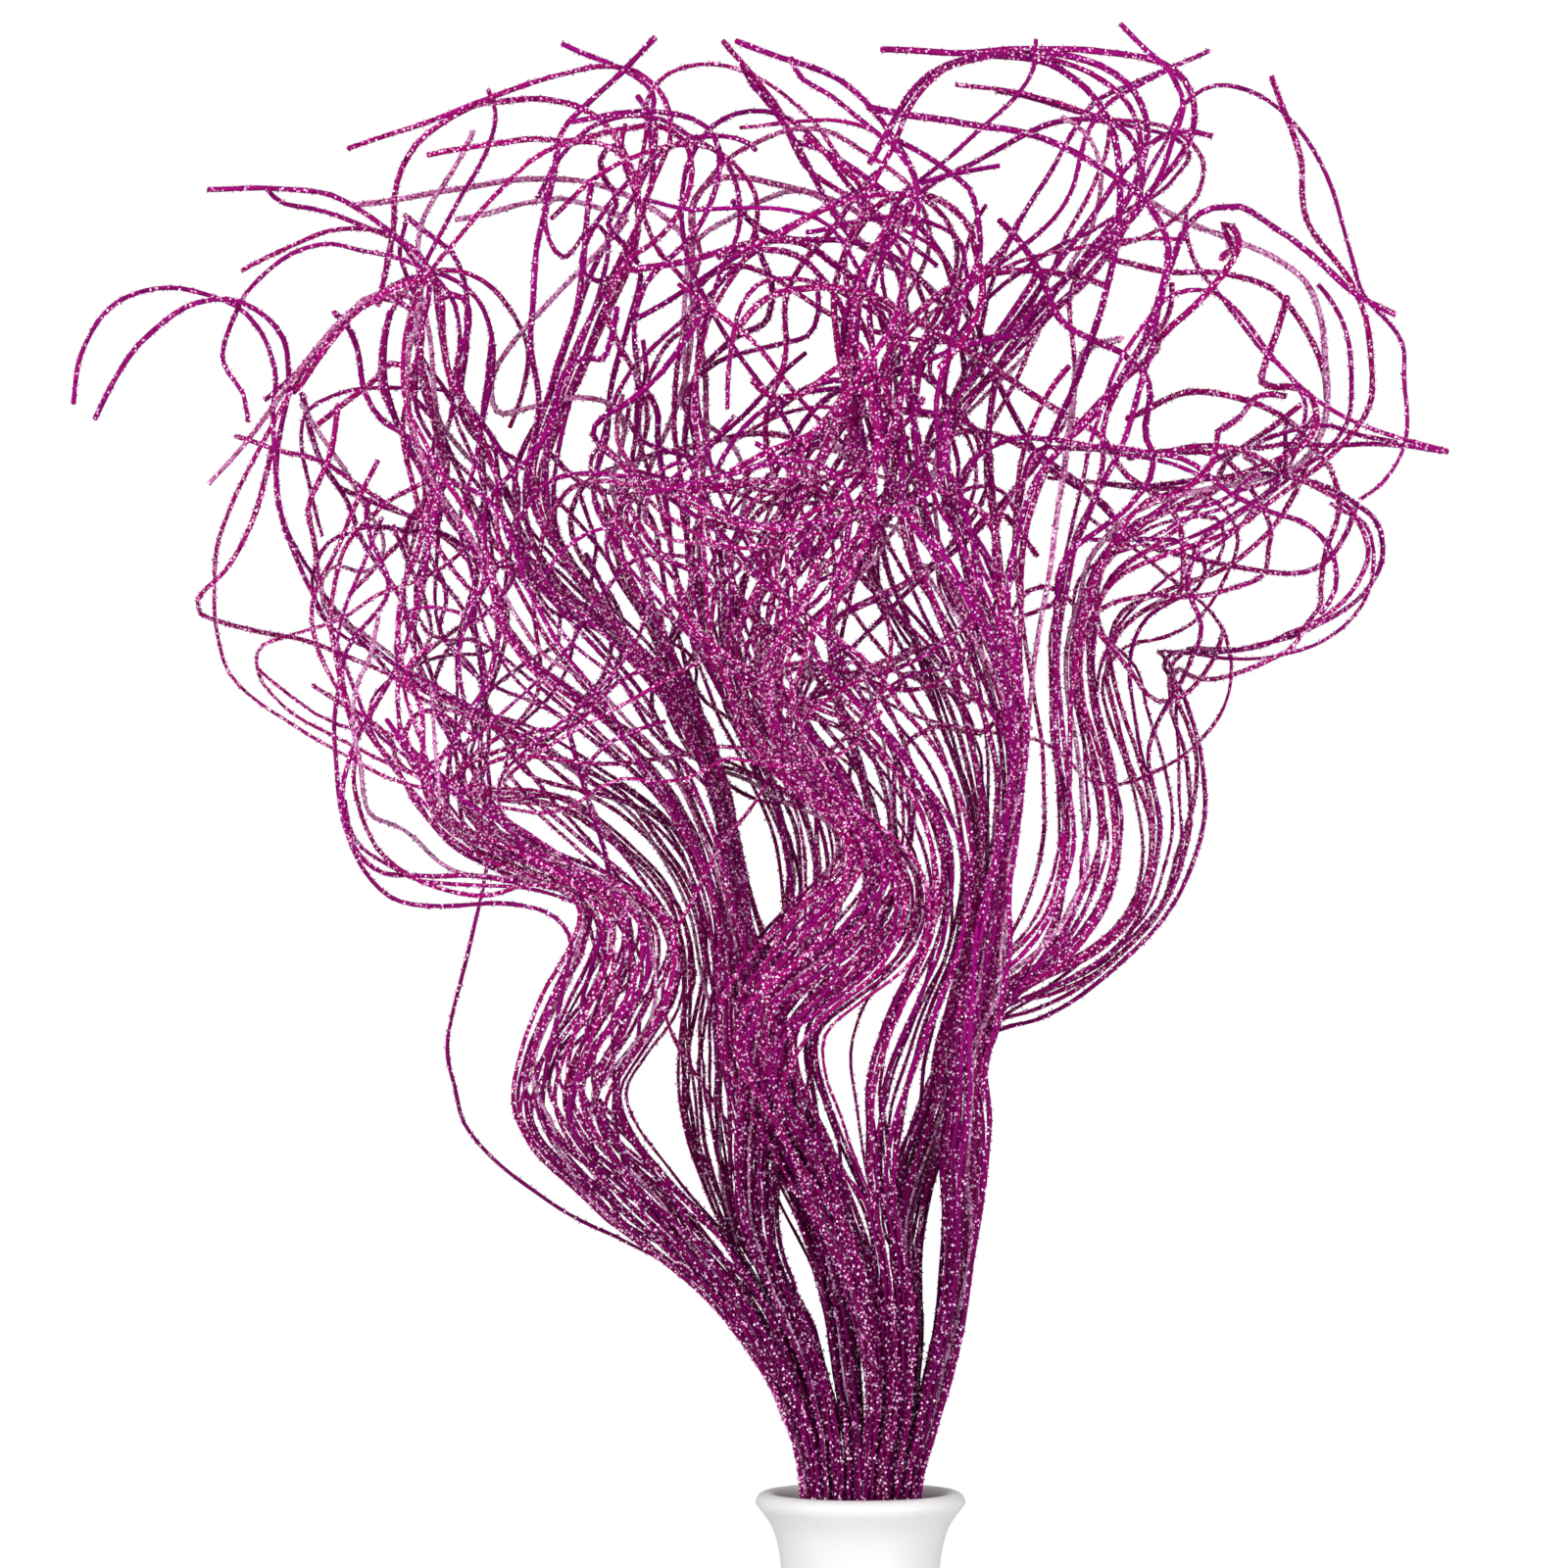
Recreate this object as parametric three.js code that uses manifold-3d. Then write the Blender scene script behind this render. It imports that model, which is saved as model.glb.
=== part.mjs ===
// Curly ting ting branches in a white vase.
// Two bunches of long dried strands stand in one ceramic vase. Each strand runs straight up
// through the vase neck, waves up the bunch in one of nine locks, and ends in the open crown.
// Millimetres, +Z up, origin at the centre of the vase foot, front towards -Y.

import * as THREE from "three";
import { mergeVertices } from "three/addons/utils/BufferGeometryUtils.js";
import Module from "manifold-3d";

// Vase: heights, and radius and height of the points that its outline passes
const VASE_HEIGHT = 170;
const FLOOR = 6;
const WALL = 3.8;
const FOOT_RADIUS = 39;
const FOOT_ROUND = 2;
const LOWER_BODY = [50.5, 27];
const BELLY = [55, 68];
const SHOULDER = [45, 107];
const NECK_BASE = [29.6, 131];
const NECK = [28.4, 143];
const NECK_BORE = 24.6;
const FLARE = [31.4, 157];
const LIP_RADIUS = 37.5;
const LIP_ROUND = 4;
const MOUTH_RADIUS = 30;
const THROAT = [27, 158];
const VASE_SIDES = 32;
const OUTSIDE_STEPS = 10;
const LIP_STEPS = 4;
const INSIDE_STEPS = 7;

// Strands
const STRAND_SIDES = 3;
const ROOT_RADIUS = 1.3;
const TIP_RADIUS = 1.05;
const CLEARANCE = 0.3;
const BEND_STEP = 2.6;
const FINE_STEP = 2;

// Bound lower end of the strands
const BUTT_RADIUS = 4.2;
const BUTT_HEIGHT = 13;
const BUTT_SIDES = 8;
const ROOT_DEPTH = 8;
const BUTT_PITCH = 8.9;
const BUNCH_OFFSET = 17;
const TIE_HEIGHT = 72;
const TIE_BAND = 7;
const TIE_BORE = 15;
const TIE_THICKNESS = 1.8;
const TIE_PITCH = 7.4;
const TIE_SIDES = 24;
const SLOT = 2.05;
const NECK_OFFSET = 10.3;
const NECK_PITCH = [6.9, 8];
const MOUTH_PITCH = 10;
const MOUTH_STAGGER = 2.6;

// Crown: how far the strands wave in depth, and over what length
const WAVE = 24;
const WAVE_LENGTH = 200;
const WAVE_START = 30;
const COLUMN_PHASE = 0.6;
const ROW_PHASE = 1.1;
const LOCK_SPREAD = 2.2;

// The routes below are drawn as seen from the front, at this distance and height
const EYE = { x: -27.3, z: 252.7, distance: 2650 };

// The two bunches have the same routes. The second one leans to the right about a point in the
// neck, and stands in front where the first stands behind.
const LEAN_PIVOT = { x: 14, z: -52 };
const BUNCHES = [
  { name: "left", lean: 0, side: -1, back: 14, mirror: 1, phase: 0.4 },
  { name: "right", lean: 19.7, side: 1, back: -14, mirror: -1, phase: 2.1 },
];
const BACK_START = 60;

// Bending crossing strands clear of one another: rounds, rounds between two looks for near pairs,
// how near a pair is, the share of an overlap taken out at once and the gap beyond the clearance.
// Of a strand's points, the first two lie in its butt and the first five up to the mouth.
const ROUNDS = 160;
const REFRESH = 8;
const LOOKOUT = 5;
const EASE_OFF = 0.7;
const SPARE = 0.05;
const ANCHORED = 2;
const LEVEL = 5;

const REED = 0x8c0a64;
const TWINE = 0xb89a6a;
const CERAMIC = 0xf1f0ee;

// Routes of the locks, from the vase mouth upwards: x and height above the rim of a lock's left
// edge, then of its right edge, chosen by eye from the front view of the left bunch.
const LOW_CURL = [
  [-20, 0, -12, 0], [-23, 15, -14, 15], [-29, 32, -18, 32], [-40, 50, -25, 50], [-54, 68, -34, 70],
  [-76, 86, -48, 92], [-100, 106, -66, 112], [-117, 122, -80, 130], [-124, 138, -84, 143],
  [-122, 156, -76, 157], [-113, 177, -66, 171], [-104, 194, -62, 184], [-100, 206, -64, 199],
  [-104, 214, -74, 211], [-118, 217, -94, 220],
];
const LEFT_SWEEP = [
  [-13, 0, -6, 0], [-15, 20, -9, 20], [-22, 40, -14, 40], [-32, 60, -22, 62], [-41, 78, -32, 80],
  [-50, 95, -42, 96], [-57, 112, -47, 112], [-63, 130, -50, 129], [-65, 148, -50, 148],
  [-64, 168, -49, 168], [-63, 188, -49, 190], [-67, 206, -53, 212], [-78, 222, -61, 230],
  [-94, 236, -76, 247], [-112, 246, -96, 260],
];
const CENTRE_SWEEP = [
  [-12, 0, -4, 0], [-14, 20, -7, 20], [-18, 40, -11, 39], [-27, 60, -18, 60], [-36, 80, -29, 79],
  [-43, 96, -33, 95], [-44, 112, -33, 110], [-43, 128, -31, 126], [-48, 146, -30, 146],
  [-50, 168, -31, 168], [-50, 190, -35, 190], [-53, 210, -41, 210], [-61, 232, -47, 234],
  [-73, 250, -53, 256], [-90, 268, -63, 276], [-108, 284, -76, 294],
];
const RIGHT_CURL = [
  [-12, 0, -5, 0], [-14, 20, -7, 20], [-19, 42, -12, 42], [-28, 62, -18, 61], [-36, 82, -29, 81],
  [-42, 100, -33, 98], [-44, 118, -34, 116], [-43, 135, -33, 133], [-42, 151, -33, 149],
  [-38, 167, -27, 164], [-28, 183, -14, 172], [-14, 194, -3, 184], [-2, 206, 7, 202],
  [4, 222, 16, 222], [2, 240, 19, 242], [-6, 257, 17, 262], [-16, 270, 9, 281],
  [-28, 284, -2, 297],
];
const RIGHT_STRAIGHT = [
  [-4, 0, 2.5, 0], [-6, 20, 1, 20], [-9, 40, 0, 40], [-12, 60, -2, 60], [-17, 80, -6, 80],
  [-23, 98, -10, 100], [-30, 114, -14, 118], [-34, 132, -19, 136], [-40, 152, -26, 151],
  [-45, 172, -27, 168], [-48, 192, -31, 190], [-49, 212, -38, 210], [-50, 234, -44, 234],
  [-54, 256, -49, 256], [-63, 276, -56, 276],
];
const RIGHT_INNER = [
  [-4, 0, 2, 0], [-5, 20, 1, 20], [-8, 40, -1, 40], [-11, 60, -4, 60], [-15, 80, -7, 80],
  [-21, 98, -12, 100], [-28, 114, -17, 118], [-32, 132, -23, 135], [-37, 150, -27, 150],
  [-38, 168, -28, 168], [-36, 184, -25, 180], [-30, 196, -16, 190], [-27, 208, -8, 206],
  [-26, 222, -6, 222], [-28, 238, -10, 240], [-36, 254, -18, 258], [-43, 270, -28, 272],
  [-50, 286, -38, 286], [-55, 302, -44, 302],
];

// Each lock fans out into loose ends. "across" runs from 1 at the lock's left edge to -1 at its
// right edge, "depth" is how far back the tip lies, and an end with "leaves" parts from the lock
// after that many rows.
const LOCKS = [
  {
    name: "low_curl_front",
    rows: LOW_CURL,
    cell: [-1, -1],
    depth: -60,
    ends: [
      { across: 1, depth: -20, points: [
        [-132, 213], [-146, 214], [-160, 219], [-171, 228], [-178, 241], [-181, 255], [-180, 268],
        [-186, 288], [-189, 308], [-187, 326], [-181, 342], [-170, 353], [-156, 361],
      ] },
      { across: 0.8, depth: -50, points: [
        [-140, 220], [-158, 219], [-171, 221], [-179, 227], [-184, 240], [-184, 254], [-180, 267],
        [-171, 284], [-163, 302], [-157, 322], [-153, 345], [-149, 366],
      ] },
      { across: 0.3, depth: -20, points: [
        [-135, 226], [-149, 235], [-158, 246], [-165, 258], [-178, 274], [-190, 292], [-196, 308],
        [-194, 322], [-187, 337], [-181, 352], [-172, 368],
      ] },
      { across: -0.2, depth: -110, points: [
        [-122, 228], [-138, 232], [-150, 240], [-156, 250], [-158, 262], [-165, 271], [-165, 278],
        [-158, 281], [-148, 277], [-138, 270],
      ] },
      { across: -0.8, depth: -140, points: [
        [-110, 226], [-128, 231], [-144, 238], [-153, 250], [-157, 264], [-157, 280], [-163, 292],
        [-165, 306], [-163, 322], [-157, 340], [-153, 358],
      ] },
    ],
  },
  {
    name: "low_curl_middle",
    rows: LOW_CURL,
    cell: [-1, 0],
    depth: -5,
    ends: [
      { leaves: 5, across: 1, depth: -15, points: [
        [-66, 80], [-82, 88], [-100, 97], [-118, 109], [-133, 121], [-142, 132], [-145, 145],
        [-147, 157], [-145, 170], [-142, 186], [-138, 203], [-134, 219], [-132, 235], [-132, 250],
        [-136, 268], [-142, 285], [-143, 300], [-139, 314], [-132, 326], [-124, 338],
      ] },
      { across: 0.6, depth: -120, points: [
        [-134, 224], [-148, 232], [-154, 246], [-150, 262], [-140, 276], [-132, 292], [-128, 310],
        [-126, 328], [-122, 346], [-112, 360], [-98, 364], [-82, 362], [-66, 358], [-50, 350],
        [-36, 345], [-20, 346], [-4, 348], [8, 350], [20, 354], [28, 361], [31, 372], [31, 384],
      ] },
      { across: 0.1, depth: 110, points: [
        [-126, 224], [-140, 231], [-148, 242], [-144, 256], [-130, 264], [-112, 268], [-98, 278],
        [-88, 292], [-84, 308], [-90, 322], [-100, 334], [-104, 348], [-96, 362], [-82, 368],
        [-64, 372], [-48, 376], [-30, 378], [-12, 372], [4, 371], [18, 371], [29, 365], [34, 355],
        [32, 343],
      ] },
      { across: -0.4, depth: -60, points: [
        [-118, 228], [-134, 237], [-140, 250], [-132, 261], [-118, 263], [-100, 260], [-84, 260],
        [-68, 262], [-52, 266], [-38, 265], [-26, 260], [-14, 262], [-2, 272], [7, 286], [11, 300],
        [9, 314], [2, 325], [-10, 332], [-26, 338], [-42, 343], [-58, 347],
      ] },
      { across: -0.9, depth: -150, points: [
        [-112, 228], [-126, 238], [-128, 254], [-116, 268], [-98, 282], [-84, 298], [-76, 316],
        [-78, 334], [-90, 346], [-104, 341], [-112, 328],
      ] },
    ],
  },
  {
    name: "low_curl_back",
    rows: LOW_CURL,
    cell: [-1, 1],
    depth: 55,
    ends: [
      { across: 0.9, depth: 10, points: [
        [-134, 224], [-150, 235], [-160, 250], [-172, 266], [-180, 284], [-188, 304], [-197, 324],
        [-205, 344], [-209, 364], [-207, 382], [-204, 398], [-206, 412], [-214, 421], [-226, 426],
        [-240, 423], [-252, 415], [-264, 401], [-274, 383],
      ] },
      { across: 0.5, depth: 60, points: [
        [-126, 228], [-140, 240], [-146, 256], [-145, 274], [-144, 294], [-142, 312], [-136, 330],
        [-134, 350], [-135, 370], [-140, 388], [-156, 394], [-172, 394], [-186, 392], [-197, 386],
        [-200, 374], [-197, 358], [-192, 341],
      ] },
      { across: 0, depth: 110, points: [
        [-124, 230], [-134, 244], [-136, 262], [-135, 282], [-130, 300], [-130, 320], [-136, 340],
        [-142, 358], [-148, 368], [-154, 358], [-160, 344], [-171, 332], [-183, 320],
      ] },
      { across: -0.5, depth: 40, points: [
        [-118, 230], [-136, 242], [-142, 260], [-136, 278], [-128, 296], [-126, 314], [-134, 328],
        [-146, 340], [-160, 348], [-176, 357], [-192, 367], [-208, 372], [-223, 377],
      ] },
      { across: -1, depth: 30, points: [
        [-114, 230], [-130, 244], [-140, 262], [-150, 282], [-160, 300], [-163, 320], [-160, 340],
        [-155, 360], [-160, 380], [-163, 400], [-160, 420], [-154, 436], [-163, 446], [-176, 451],
        [-190, 450], [-205, 444], [-221, 436],
      ] },
    ],
  },
  {
    name: "left_sweep",
    rows: LEFT_SWEEP,
    cell: [0, 1],
    depth: 40,
    ends: [
      { across: 1, depth: -10, points: [
        [-132, 248], [-150, 250], [-168, 255], [-186, 264], [-202, 273], [-217, 284], [-226, 293],
        [-229, 306], [-231, 322], [-230, 336], [-225, 350], [-218, 364], [-211, 378], [-203, 394],
        [-190, 411], [-177, 425], [-163, 432],
      ] },
      { across: 0.6, depth: 20, points: [
        [-130, 251], [-150, 254], [-170, 260], [-190, 271], [-206, 281], [-217, 292],
        [-219.5, 296], [-219, 300], [-215, 302], [-198, 307], [-184, 312], [-172, 320],
        [-158, 325], [-148, 331], [-138, 340],
      ] },
      { across: 0, depth: -15, points: [
        [-122, 268], [-140, 279], [-156, 286], [-170, 293], [-190, 301], [-212, 307], [-230, 311],
        [-238, 313], [-241, 315.5], [-239, 318.5], [-233, 323], [-226, 330], [-218, 345],
        [-213, 360], [-210, 374],
      ] },
      { across: -0.5, depth: -20, points: [
        [-118, 271], [-140, 281], [-155, 288], [-168, 297], [-181, 308], [-192, 321], [-201, 336],
        [-207, 351], [-210, 368], [-210, 385], [-209, 400], [-213, 412], [-222, 423], [-236, 428],
        [-250, 430], [-263, 426], [-272, 418], [-279, 403], [-281, 388],
      ] },
      { across: -1, depth: 100, points: [
        [-115, 272], [-140, 279], [-154, 286], [-161, 296], [-160, 306], [-156, 320], [-154, 338],
        [-153, 356], [-150, 372], [-146, 388], [-148, 404],
      ] },
    ],
  },
  {
    name: "centre_sweep",
    rows: CENTRE_SWEEP,
    cell: [0, 0],
    depth: -30,
    ends: [
      { across: 1, depth: -90, points: [
        [-122, 298], [-130, 313], [-132, 330], [-138, 346], [-147, 359], [-155, 374], [-163, 390],
        [-163, 408], [-159, 424], [-151, 439], [-140, 452], [-128, 465], [-115, 477], [-103, 482],
        [-92, 482], [-84, 476], [-80, 465],
      ] },
      { across: 0.6, depth: 60, points: [
        [-118, 297], [-128, 312], [-133, 328], [-142, 341], [-150, 354], [-160, 371], [-169, 390],
        [-171, 408], [-167, 423], [-158, 433], [-146, 436], [-133, 431], [-124, 420], [-119, 407],
        [-120, 393], [-125, 380],
      ] },
      { across: 0.2, depth: -40, points: [
        [-112, 298], [-124, 314], [-134, 332], [-146, 350], [-156, 368], [-162, 388], [-161, 408],
        [-157, 423], [-160, 432], [-170, 431], [-182, 421], [-194, 408], [-206, 393], [-219, 376],
        [-233, 360],
      ] },
      { across: -0.3, depth: 80, points: [
        [-104, 304], [-117, 320], [-128, 338], [-134, 356], [-136, 374], [-133, 392], [-131, 410],
        [-136, 425], [-148, 434], [-162, 433], [-175, 426], [-187, 415], [-200, 401], [-213, 390],
      ] },
      { across: -0.9, depth: -20, points: [
        [-94, 308], [-110, 322], [-122, 340], [-132, 358], [-141, 375], [-146, 392], [-143, 410],
        [-146, 426], [-155, 436], [-168, 441], [-180, 444], [-192, 446], [-204, 442], [-214, 434],
        [-222, 424], [-227, 411], [-227, 402], [-221, 392], [-218, 386], [-219, 382],
      ] },
    ],
  },
  {
    name: "right_curl",
    rows: RIGHT_CURL,
    cell: [0, -1],
    depth: -50,
    ends: [
      { across: 1, depth: -110, points: [
        [-37, 300], [-33, 308], [-20, 315], [-8, 327], [-4, 342], [-4, 356], [-12, 366],
        [-26, 369], [-42, 364], [-60, 360], [-76, 356],
      ] },
      { across: 0.6, depth: -80, points: [
        [-34, 304], [-36, 318], [-22, 332], [-6, 346], [4, 362], [9, 380], [10, 398], [10, 412],
        [4, 426], [-8, 438], [-22, 446], [-40, 446], [-60, 440], [-82, 436],
      ] },
      { across: 0, depth: -40, points: [
        [-22, 302], [-38, 310], [-46, 325], [-44, 340], [-32, 354], [-14, 362], [-8, 352],
        [-14, 338], [-28, 322],
      ] },
      { across: -0.6, depth: 20, points: [
        [-9, 303], [-14, 308], [-14.5, 311.5], [-11, 314.5], [0, 317.5], [18, 326], [32, 338],
        [40, 354], [41, 370], [35, 381], [20, 384], [2, 386], [-14, 388], [-30, 384], [-44, 376],
      ] },
      { across: -1, depth: -30, points: [
        [-13, 305], [-18, 307], [-19.5, 309.5], [-16, 312], [-6, 314], [8, 320], [22, 329],
        [36, 342], [45, 357], [46, 370], [41, 380], [30, 384], [12, 386], [-6, 382], [-22, 374],
        [-40, 365], [-56, 361],
      ] },
    ],
  },
  {
    name: "right_straight",
    rows: RIGHT_STRAIGHT,
    cell: [1, 0],
    depth: 0,
    ends: [
      { across: 1, depth: -30, points: [
        [-76, 295], [-90, 313], [-104, 331], [-114, 348], [-117, 366], [-112, 384], [-105, 402],
        [-95, 422], [-87, 438], [-80, 452], [-75, 466], [-70, 478], [-68, 488], [-71, 499],
        [-79, 507], [-90, 509], [-104, 507], [-120, 502], [-140, 495], [-160, 487], [-183, 480],
      ] },
      { across: 0.5, depth: 40, points: [
        [-78, 297], [-92, 315], [-106, 334], [-116, 352], [-116, 370], [-110, 388], [-102, 407],
        [-93, 425], [-84, 442], [-77, 459], [-74, 474], [-75, 488], [-74, 499], [-80, 505],
        [-92, 511], [-106, 517],
      ] },
      { across: 0, depth: 0, points: [
        [-74, 292], [-88, 310], [-102, 328], [-113, 346], [-115, 364], [-108, 383], [-100, 402],
        [-91, 420], [-84, 436], [-79, 452], [-79, 468], [-77, 484], [-76, 497], [-69, 506],
        [-57, 510], [-44, 508], [-30, 501], [-17, 489], [-4, 472], [8, 455], [18, 450], [28, 443],
        [33, 431], [39, 418], [41, 408], [38, 395], [32, 386],
      ] },
      { across: -0.5, depth: -60, points: [
        [-74, 296], [-92, 316], [-108, 336], [-118, 356], [-117, 374], [-115, 392], [-118, 410],
        [-117, 428], [-115, 445], [-112, 460], [-109, 474], [-106, 487], [-97, 496], [-86, 506],
        [-73, 519],
      ] },
      { across: -1, depth: 90, points: [
        [-68, 290], [-84, 308], [-98, 326], [-110, 344], [-113, 362], [-108, 380], [-100, 398],
        [-92, 416], [-85, 432], [-80, 448], [-79, 462], [-83, 476], [-90, 487], [-99, 494],
        [-112, 497], [-128, 496], [-140, 494], [-152, 487], [-161, 478], [-166, 466], [-167, 452],
        [-170, 436], [-172, 424],
      ] },
    ],
  },
  {
    name: "right_inner",
    rows: RIGHT_INNER,
    cell: [1, -1],
    depth: 30,
    ends: [
      { across: -0.5, depth: -20, points: [
        [-46, 320], [-47, 336], [-40, 350], [-30, 364], [-24, 378], [-12, 390], [4, 397],
        [18, 402], [34, 408], [56, 413],
      ] },
      { across: 1, depth: 100, points: [
        [-58, 320], [-62, 340], [-64, 360], [-66, 380], [-66, 400], [-62, 418], [-56, 432],
        [-45, 438], [-32, 434], [-20, 426], [-6, 418], [10, 413], [30, 411], [55, 413],
      ] },
      { across: 0.5, depth: 60, points: [
        [-56, 320], [-58, 340], [-57, 358], [-55, 378], [-55, 398], [-58, 416], [-60, 434],
        [-60, 448], [-60, 460], [-54, 468], [-45, 470], [-28, 467], [-10, 461], [6, 454],
        [22, 452],
      ] },
      { across: -1, depth: -10, points: [
        [-44, 318], [-40, 330], [-28, 342], [-14, 354], [-2, 368], [8, 384], [16, 396], [22, 408],
        [24, 418], [20, 432], [13, 446], [3, 458], [-10, 466], [-20, 474], [-25, 484], [-29, 493],
        [-38, 505], [-49, 518],
      ] },
      { across: 0, depth: -100, points: [
        [-50, 318], [-52, 334], [-46, 350], [-34, 362], [-20, 372], [-6, 380], [6, 388], [11, 400],
        [9, 414], [3, 428], [-2, 440], [-12, 452], [-25, 457], [-42, 458], [-60, 458], [-78, 461],
      ] },
    ],
  },
  {
    name: "middle_straight",
    rows: RIGHT_STRAIGHT,
    cell: [1, 1],
    depth: 60,
    ends: [
      { across: 0.8, depth: 50, points: [
        [-76, 295], [-92, 310], [-108, 325], [-120, 342], [-128, 360], [-138, 378], [-150, 394],
        [-159, 410], [-160, 426], [-154, 441], [-146, 455], [-139, 468], [-133, 480], [-130, 491],
        [-133, 501],
      ] },
      { across: -1, depth: 120, points: [
        [-66, 292], [-74, 310], [-78, 328], [-80, 346], [-76, 364], [-68, 382], [-62, 400],
        [-60, 418], [-60, 434], [-63, 448], [-72, 457], [-86, 464], [-102, 468], [-120, 469],
        [-140, 466], [-160, 462], [-181, 459],
      ] },
      { across: -0.4, depth: -120, points: [
        [-68, 294], [-78, 312], [-86, 330], [-86, 348], [-80, 366], [-76, 384], [-82, 402],
        [-90, 418], [-93, 430], [-84, 440], [-72, 448], [-64, 458], [-60, 470], [-62, 481],
        [-71, 487], [-85, 487], [-100, 483], [-118, 483], [-136, 481], [-154, 477],
      ] },
      { across: 0.4, depth: 20, points: [
        [-78, 298], [-98, 312], [-116, 324], [-130, 338], [-140, 356], [-148, 374], [-156, 392],
        [-158, 410], [-154, 426], [-156, 440], [-167, 450], [-179, 458], [-192, 464], [-212, 465],
        [-233, 465],
      ] },
      { across: 0, depth: 60, points: [
        [-74, 300], [-92, 318], [-110, 334], [-122, 350], [-132, 366], [-140, 384], [-148, 402],
        [-150, 420], [-153, 436], [-164, 446], [-180, 453], [-196, 458], [-207, 460], [-213, 466],
      ] },
    ],
  },
];

function mix(a, b, t) {
  return a + (b - a) * t;
}

function ease(t) {
  const k = Math.min(Math.max(t, 0), 1);
  return k * k * (3 - 2 * k);
}

// Front view of one strand: the lock's rows, then the loose end
function frontRoute(lock, end) {
  const rows = lock.rows.slice(0, end.leaves ?? lock.rows.length);
  const k = (1 + end.across) / 2;
  const along = rows.map(([xl, zl, xr, zr]) => [mix(xr, xl, k), mix(zr, zl, k)]);
  return [...along, ...end.points];
}

function lengths(points) {
  const sums = [0];
  for (let i = 1; i < points.length; i += 1) {
    const step = Math.hypot(points[i][0] - points[i - 1][0], points[i][1] - points[i - 1][1]);
    sums.push(sums[i - 1] + step);
  }
  return sums;
}

function leanOver([x, z], bunch) {
  const angle = THREE.MathUtils.degToRad(bunch.lean);
  const dx = x - LEAN_PIVOT.x;
  const dz = z - LEAN_PIVOT.z;
  return [
    LEAN_PIVOT.x + dx * Math.cos(angle) + dz * Math.sin(angle),
    LEAN_PIVOT.z - dx * Math.sin(angle) + dz * Math.cos(angle),
  ];
}

// A point of the front view, moved back by y and scaled so that it still shows in its place
function placeInDepth([x, z], y) {
  const scale = (EYE.distance + y) / EYE.distance;
  return new THREE.Vector3(
    EYE.x + (x - EYE.x) * scale,
    y,
    VASE_HEIGHT + EYE.z + (z - EYE.z) * scale,
  );
}

// Places of a lock's five strands among each other, front and back of one another
const SLOTS = [[-1, -1], [-1, 1], [0, 0], [1, -1], [1, 1]];

function depthAlong(lock, end, order, bunch, s, lockLength, total) {
  const mouth = lock.cell[1] * MOUTH_PITCH;
  const inLock = mix(mouth, lock.depth, ease(s / lockLength));
  const beyond = (s - lockLength) / Math.max(total - lockLength, 1);
  const base = mix(inLock, end.depth, ease(beyond));
  const spread = SLOTS[order][1] * MOUTH_STAGGER * mix(1, LOCK_SPREAD, ease(s / lockLength));
  const phase = bunch.phase + COLUMN_PHASE * lock.cell[0] + ROW_PHASE * lock.cell[1];
  const turn = 2 * Math.PI * s / WAVE_LENGTH + phase + order * ease(beyond);
  const wave = WAVE * ease((s - WAVE_START) / WAVE_LENGTH) * Math.sin(turn);
  const back = bunch.back * ease(s / BACK_START);
  return bunch.mirror * (base + spread + wave) + back;
}

// Smooth centre line above the mouth
function crownLine(lock, end, order, bunch) {
  const route = frontRoute(lock, end);
  const sums = lengths(route);
  const whole = frontRoute(lock, { across: end.across, points: [] });
  const lockLength = lengths(whole).at(-1);
  const total = sums.at(-1);
  const points = route.map((point, i) => {
    const y = depthAlong(lock, end, order, bunch, sums[i], lockLength, total);
    return placeInDepth(leanOver(point, bunch), y);
  });
  const curve = new THREE.CatmullRomCurve3(points, false, "centripetal");
  return curve.getSpacedPoints(Math.round(curve.getLength() / FINE_STEP));
}

// Fewest points that stay within BEND_STEP of a smooth line
function thinOut(points) {
  const keep = [0, points.length - 1];
  const split = (from, to) => {
    const chord = new THREE.Line3(points[from], points[to]);
    const foot = new THREE.Vector3();
    let worst = BEND_STEP;
    let at = -1;
    for (let i = from + 1; i < to; i += 1) {
      chord.closestPointToPoint(points[i], true, foot);
      const off = foot.distanceTo(points[i]);
      if (off > worst) {
        worst = off;
        at = i;
      }
    }
    if (at > 0) {
      keep.push(at);
      split(from, at);
      split(at, to);
    }
  };
  split(0, points.length - 1);
  return keep.sort((a, b) => a - b).map((i) => points[i]);
}

// Inside the vase: butt, tie and neck, each strand in its own place
function vaseLine(lock, order, bunch) {
  const [column, row] = [lock.cell[0], lock.cell[1] * bunch.mirror];
  const [u, v] = [SLOTS[order][0] * SLOT, SLOTS[order][1] * SLOT * bunch.mirror];
  const at = (centre, pitchX, pitchY, z) => new THREE.Vector3(
    bunch.side * centre + column * pitchX + u,
    row * pitchY + v,
    z,
  );
  const buttTop = FLOOR + CLEARANCE + BUTT_HEIGHT;
  return [
    at(BUNCH_OFFSET, BUTT_PITCH, BUTT_PITCH, buttTop - ROOT_DEPTH),
    at(BUNCH_OFFSET, BUTT_PITCH, BUTT_PITCH, buttTop + 1),
    at(BUNCH_OFFSET, TIE_PITCH, TIE_PITCH, TIE_HEIGHT),
    at(NECK_OFFSET, ...NECK_PITCH, NECK[1]),
  ];
}

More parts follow.
